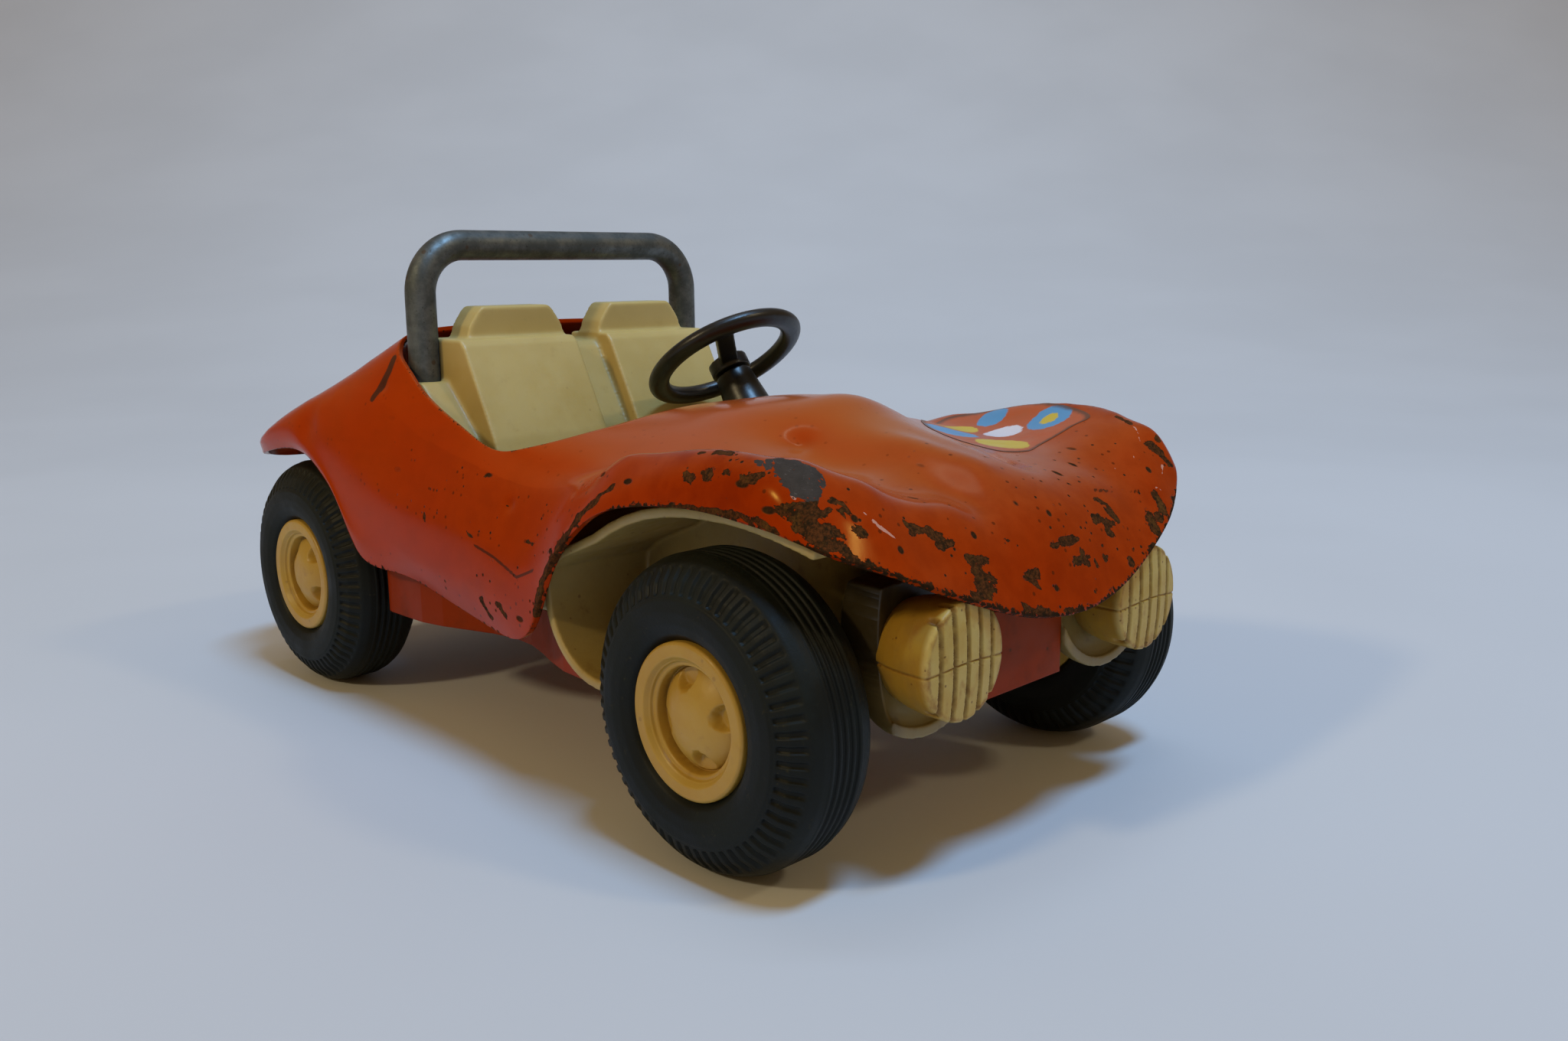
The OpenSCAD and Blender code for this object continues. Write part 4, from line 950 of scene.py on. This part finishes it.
def fender_decal(shell):
    """A sticker laid over the valley and the left fender, following the sheet."""
    mesh = shell.data
    tree = BVHTree.FromPolygons([v.co for v in mesh.vertices], [tuple(p.vertices) for p in mesh.polygons])
    outline = closed_curve(DECAL_OUTLINE, 10)
    middle, corner = outline.mean(0), np.array(DECAL_CORNER)
    rings, turns = 30, len(outline)
    lift, above = 0.05, 80.0
    points, prints, rims = [], [], []
    for ring in range(rings + 1):
        for x, y in middle + (outline - middle) * ring / rings:
            hit, normal, _, _ = tree.ray_cast(Vector((x, y, above)) * MM, Vector((0, 0, -1)))
            points.append(hit + normal * lift * MM)
            prints.append((np.array((x, y)) - corner) / DECAL_SPAN)
            rims.append(ring / rings)
    faces = []
    for start in range(0, rings * turns, turns):
        for i in range(turns):
            j = (i + 1) % turns
            faces.append((start + i, start + turns + i, start + turns + j, start + j))
    made = bpy.data.meshes.new("fender_decal")
    made.from_pydata(points, [], faces)
    layer = made.uv_layers.new(name="print")
    for loop in made.loops:
        layer.data[loop.index].uv = prints[loop.vertex_index]
    set_field(made, "rim", rims)
    smooth(made)
    made.materials.append(decal_print())
    add_piece("fender_decal", made, "chassis", "orange_paint")


# ---------------- wheels

LUGS = 62
TREAD_RIBS = 5


def tyre_profile(width, outer, inner):
    """The tyre's section as (x from its outer face, radius), from the hub seat round to the hub seat."""
    half = [
        (1.5, inner),
        (0.6, inner + 0.75),
        (0.15, inner + 1.9),
        (0.0, inner + 3.2),
        (0.10, outer - 4.3),
        (0.36, outer - 3.8),
        (0.95, outer - 2.45),
        (2.2, outer - 1.0),
        (2.5, outer - 0.75),
        (3.4, outer - 0.28),
        (4.2, outer - 0.1),
    ]
    start, groove = 4.3, 0.28
    land = (width - 2 * start) / (2 * TREAD_RIBS - 1)
    tread = []
    for i in range(2 * TREAD_RIBS - 1):
        radius = outer - (0.0 if i % 2 == 0 else groove)
        tread += [(start + (i + 0.12) * land, radius), (start + (i + 0.88) * land, radius)]
    corners = half + tread + [(width - x, r) for x, r in reversed(half)]
    return dense_line(rounded_line(corners, 0.22), 0.3)


def from_outer_face(depth, low, high):
    """Depths behind a wheel part's outer face as places along X, from the corners of its box."""
    return low.x + depth if low.x < 0 else high.x - depth


def lug_depth(x, angle, width, outer, radius):
    """Depth of the notches between the shoulder lugs, with a fine line where their band starts."""
    from_edge = np.minimum(x, width - x)
    band = ramp(from_edge, 0.30, 0.45) * ramp(from_edge, 2.25, 2.05)
    notch = ramp(np.cos(angle * LUGS), 0.05, -0.30)
    line = 0.12 * ramp(np.abs(radius - outer + 4.15), 0.14, 0) * (from_edge < 1)
    return np.maximum(0.48 * band * notch * (radius > outer - 4.0), line)


def tyre(node):
    """A tyre with notched shoulders and a ribbed tread, where its CAD node is."""
    low, high = box_of(node)
    hub_low, hub_high = box_of(node.replace("tyre", "hub"))
    width, outer = high.x - low.x, (high.z - low.z) / 2
    inner = (hub_high.z - hub_low.z) / 2
    profile = tyre_profile(width, outer, inner)
    grid, angles = revolved(profile, LUGS * (12))
    radius = np.hypot(grid[..., 1], grid[..., 2])
    x = grid[..., 0]
    depth = lug_depth(x, angles[:, None], width, outer, radius)
    lean = 0.6 * ramp(np.minimum(x, width - x), 2.6, 0)
    grid[..., 1:] *= ((radius - depth * (1 - lean)) / radius)[..., None]
    grid[..., 0] = from_outer_face(x + np.sign(width / 2 - x) * depth * lean, low, high)
    centre = (low + high) / 2
    grid[..., 1] += centre.y
    grid[..., 2] += centre.z
    name = node.replace("_tyre", "_rubber")
    add_grid(node, name, grid, "tyre_rubber", "tyre_rubber", closed_rows=True)


# Deepest scallop's place round each hub, in degrees from the top towards the front
HUB_TURNS = {"front_right": -15, "front_left": 20, "rear_right": 40, "rear_left": 5}


def hub(node):
    """A hub with a flat flange, a stepped well, and a domed cap with four scallops in its flank."""
    low, high = box_of(node)
    radius, depth = (high.z - low.z) / 2, high.x - low.x
    well = 2.35
    dome_radii = (0, 0.8, 1.5, 2.2, 2.9, 3.5, 4.0, 4.5, 4.9, 5.2, 5.45)
    dome = [(0.18 + 2.0 * (r / 5.6) ** 2.6, r) for r in dome_radii]
    wall = [(well, 5.6), (well, 5.75), (1.1, 5.85)]
    ledges = [(0.95, 6.05), (0.95, 6.35), (0.6, 6.45), (0.5, 6.6), (0.06, 6.95)]
    rim = [(0.0, 7.1), (0.0, radius - 0.3), (0.25, radius), (depth, radius), (depth, 0.0)]
    profile = dense_line(rounded_line(dome + wall + ledges + rim, 0.14), 0.22)
    grid, angles = revolved(profile, 240)
    x, r = grid[..., 0], np.hypot(grid[..., 1], grid[..., 2])
    start = math.radians(HUB_TURNS[node.replace("_hub", "")])
    lean = (angles[:, None] - start + math.pi / 4) % (math.pi / 2) - math.pi / 4
    away = np.hypot(r * np.cos(lean) - 4.7, r * np.sin(lean))
    scoop = ramp(away, 1.55, 1.05) * (r < 5.7) * (x < well)
    sunk = x + (np.maximum(well - 0.15, x) - x) * scoop * scoop * (3 - 2 * scoop)
    grid[..., 0] = from_outer_face(sunk, low, high)
    middle = (low + high) / 2
    y, z = grid[..., 1].copy(), grid[..., 2].copy()
    grid[..., 1] = middle.y - z
    grid[..., 2] = middle.z + y
    add_grid(node, node.replace("_hub", "_rim"), grid, "hub_plastic", "hub_plastic")


# ---------------- headlamps

LENS_RIBS = 6
STUD_RADIUS, STUD_LENGTH = 1.3, 2.2


def lamp_profile(radius, length):
    """The lamp's section as (depth from the lens, radius), from its middle back to its stud."""
    back = length - STUD_LENGTH
    lens = [(0.0, 0.0), (0.10, radius * 0.5), (0.38, radius - 0.35), (0.55, radius - 0.08), (0.9, radius)]
    side = [
        (1.9 + (back - 1.9) * math.sin(a), radius * math.cos(a) ** 0.9)
        for a in (math.radians(8.4 * i) for i in range(1, 11))
    ]
    stud = [(back, STUD_RADIUS), (length, STUD_RADIUS), (length, 0.0)]
    return dense_line(lens + side + stud, 0.12)


def headlamp(node):
    """A moulded lamp: a ribbed lens, a mould line round its waist and a stud behind."""
    low, high = box_of(node)
    middle = (low + high) / 2
    radius = (high.x - low.x) / 2
    length = high.y - low.y
    turned, _ = revolved(lamp_profile(radius, length), 300)
    x, y, z = turned[..., 1], turned[..., 0], turned[..., 2]
    pitch = radius * 2 / (LENS_RIBS + 0.1)
    off = np.abs((x / pitch + 0.5) % 1.0 - 0.5) * pitch
    inner = np.abs(x) < pitch * (LENS_RIBS / 2 - 0.5)
    groove = ramp(off, 0.36, 0) ** 0.6 * inner
    front = ramp(y, 2.3, 1.4)
    sag = 0.25 * np.cos(x / radius * 2.5)
    waist = ramp(np.abs(z + 0.3 - sag), 0.17, 0) * ramp(y, length - 2.6, length - 2.9)
    deep = np.maximum(0.62 * groove * front, 0.2 * waist)
    facing = ramp(y, 1.0, 0.4)
    out = np.hypot(x, z)
    shrink = 1 - deep * (1 - facing) / np.maximum(out, 0.5)
    grid = np.stack([middle.x + x * shrink, low.y + y + deep * facing, middle.z + z * shrink], axis=-1)
    marks = {
        "groove": np.maximum(np.clip(groove * 1.4, 0, 1) * front, waist),
        "face": ramp(y, 1.8, 0.6),
        "rim": ramp(np.abs(out - radius + 0.4), 1.1, 0) * ramp(y, 2.4, 1.6),
    }
    name = node.replace("headlamp", "lamp_lens")
    add_grid(node, name, grid, "cream_plastic", "lamp_plastic", marks=marks)


# ---------------- stage

# Where the photographer stood, and the way they looked: to the side, down, and tilted
CAMERA_PLACE = (-120.2, -146.4, 64.0)
CAMERA_YAW, CAMERA_PITCH, CAMERA_ROLL = -0.7837, -0.192, -0.0083


def photo_camera():
    """The camera where the photographer stood."""
    data = bpy.data.cameras.new("camera")
    data.sensor_fit = "HORIZONTAL"
    data.sensor_width = 36
    data.lens = 30.0
    data.clip_start, data.clip_end = 0.005, 20
    camera = in_scene("camera", data)
    turn = Matrix.Rotation(CAMERA_YAW, 4, "Z") @ Matrix.Rotation(math.pi / 2 + CAMERA_PITCH, 4, "X")
    turn = turn @ Matrix.Rotation(CAMERA_ROLL, 4, "Z")
    camera.matrix_world = Matrix.Translation(Vector(CAMERA_PLACE) * MM) @ turn
    bpy.context.scene.camera = camera


def sweep():
    """A sheet of pale card, in metres: flat under the car, then curved up gently behind it."""
    wide, near, bend_from, bend, top = 2.4, -1.2, 0.3, 1.6, 2.8
    line = [(near, 0.0), (bend_from, 0.0)]
    line += [
        (bend_from + bend * math.sin(a), bend * (1 - math.cos(a)))
        for a in (math.radians(3 * i) for i in range(1, 31))
    ]
    line.append((bend_from + bend, top))
    turn = Matrix.Rotation(CAMERA_YAW, 3, "Z")
    points = [turn @ Vector((side * wide, y, z)) for y, z in line for side in (-1, 1)]
    faces = [(2 * i, 2 * i + 1, 2 * i + 3, 2 * i + 2) for i in range(len(line) - 1)]
    mesh = bpy.data.meshes.new("sweep")
    mesh.from_pydata(points, [], faces)
    smooth(mesh)
    card = in_scene("sweep", mesh)
    s = Shader("card")
    colour = s.mix(s.step(s.noise(160, 3, 0.5), 0.3, 0.7), rgb(203, 204, 206), rgb(208, 209, 211))
    grain = s.bump(s.noise(2, 4, 0.6), 0.05, 0.3)
    mesh.materials.append(s.finish(base_color=colour, roughness=0.7, normal=grain))


def lamp(name, place, aim, wide, deep, power, colour):
    """A soft oval lamp, its place, aim and size in metres and its power in watts."""
    data = bpy.data.lights.new(name, "AREA")
    data.shape = "ELLIPSE"
    data.size, data.size_y = wide, deep
    data.energy = power
    data.color = colour
    made = in_scene(name, data)
    made.location = place
    made.rotation_mode = "QUATERNION"
    made.rotation_quaternion = (Vector(place) - Vector(aim)).to_track_quat("Z", "Y")


def studio():
    """Cool daylight from overhead, two small warm lamps in front, a wash on the card, and a warm room."""
    day, bulb = (0.31, 0.60, 1.0), (1.0, 0.80, 0.46)
    lamp("window", (-0.02, -0.36, 1.0), (0.0, 0.05, 0.0), 0.32, 0.16, 7.5, day)
    lamp("right_lamp", (-0.64, 0.04, 0.46), (0, 0, 0), 0.08, 0.08, 1.4, bulb)
    lamp("front_lamp", (0.23, -0.63, 0.60), (0, 0, 0), 0.08, 0.08, 0.8, bulb)
    lamp("wash", (0.15, 0.15, 1.25), (1.35, 1.35, 0.7), 0.7, 0.7, 11.0, (0.56, 0.76, 1.0))
    world = bpy.data.worlds.new("room")
    world.use_nodes = True
    bpy.context.scene.world = world
    room = world.node_tree.nodes["Background"]
    room.inputs["Color"].default_value = (1.0, 0.64, 0.26, 1)
    room.inputs["Strength"].default_value = 0.28


# ---------------- build

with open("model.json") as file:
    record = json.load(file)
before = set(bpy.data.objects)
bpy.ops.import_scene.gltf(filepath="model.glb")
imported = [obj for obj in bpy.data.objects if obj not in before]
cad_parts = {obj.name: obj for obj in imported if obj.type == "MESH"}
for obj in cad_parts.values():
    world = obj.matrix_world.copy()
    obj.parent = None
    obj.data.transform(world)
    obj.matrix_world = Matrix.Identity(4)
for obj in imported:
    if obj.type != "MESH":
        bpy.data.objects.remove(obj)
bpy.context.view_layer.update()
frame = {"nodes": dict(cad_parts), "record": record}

CREAM = (rgb(184, 162, 100), rgb(172, 147, 82), rgb(116, 78, 28))
AMBER = (rgb(188, 154, 66), rgb(180, 142, 52), rgb(120, 74, 22))
GREY = (rgb(190, 188, 178), rgb(176, 172, 160), rgb(96, 84, 60))
BLACK = (rgb(44, 46, 50), rgb(38, 40, 43), rgb(70, 62, 48))
finishes = {
    "orange_paint": orange_paint(),
    "pan_paint": pan_paint(),
    "tub_plastic": moulded_plastic("tub_plastic", *CREAM, dirt=0.55, pale=True),
    "liner_plastic": moulded_plastic("liner_plastic", *CREAM, dirt=1.0, deep=0.8),
    "lamp_plastic": lamp_plastic(),
    "hub_plastic": moulded_plastic("hub_plastic", *AMBER, dirt=0.6),
    "tyre_rubber": tyre_rubber(),
    "bare_steel": worn_steel("bare_steel", rgb(80, 85, 84), rgb(108, 113, 112), 3.0, 0.45),
    "axle_steel": worn_steel("axle_steel", rgb(120, 118, 114), rgb(168, 166, 162), 4.0, 0.3, 0.9),
    "sleeve_plastic": moulded_plastic("sleeve_plastic", *GREY, dirt=0.8, edge=0.15),
    "black_plastic": black_plastic(),
    "case_plastic": moulded_plastic("case_plastic", *BLACK, dirt=0.6, edge=0.2),
    "gear_brass": gear_brass(),
    "spring_steel": worn_steel("spring_steel", rgb(70, 76, 84), rgb(104, 110, 118), 5.0, 0.3, 0.9),
    "screw_steel": worn_steel("screw_steel", rgb(128, 126, 122), rgb(170, 168, 164), 3.0, 0.34, 0.9),
}

fender_decal(pressed_body())
for corner in HUB_TURNS:
    tyre(f"{corner}_tyre")
for corner in HUB_TURNS:
    hub(f"{corner}_hub")
for node in ("right_headlamp", "left_headlamp"):
    headlamp(node)

# Nodes whose own shape is softened as a moulding's is: node, piece, slot, finish, grain, passes
MOULDINGS = [
    ("interior_tub", "seat_tub", "cream_plastic", "tub_plastic", 0.28, 5),
    ("right_fender_liner", "right_wheel_liner", "cream_plastic", "liner_plastic", 0.25, 3),
    ("left_fender_liner", "left_wheel_liner", "cream_plastic", "liner_plastic", 0.25, 3),
    ("steering_wheel", "steering_rim", "black_plastic", "black_plastic", 0.14, 6),
    ("steering_column", "steering_post", "black_plastic", "black_plastic", 0.2, 3),
]
for node, name, slot, finish, grain, passes in MOULDINGS:
    piece = moulded_copy(node, name, slot, grain, passes)
    if finish == "liner_plastic":
        flatten_reflector(piece)
    if finish == "tub_plastic":
        # Painted light from above: the tub grows paler towards its top
        set_field(piece.data, "fade_and_painted_top_light", 0.4 * ramp(points_of(piece.data)[:, 2], 40, 52))
    piece.data.materials.clear()
    piece.data.materials.append(finishes[finish])

# Nodes that keep their own shape take their slot's finish
slots = {p["node"]: p["material_slot"] for p in frame["record"]["subparts"]}
for node, thing in frame["nodes"].items():
    if not thing.hide_render:
        thing.data.materials.clear()
        thing.data.materials.append(finishes["pan_paint" if node == "floor_pan" else slots[node]])

photo_camera()
sweep()
studio()
bpy.context.scene.view_settings.view_transform = "Standard"
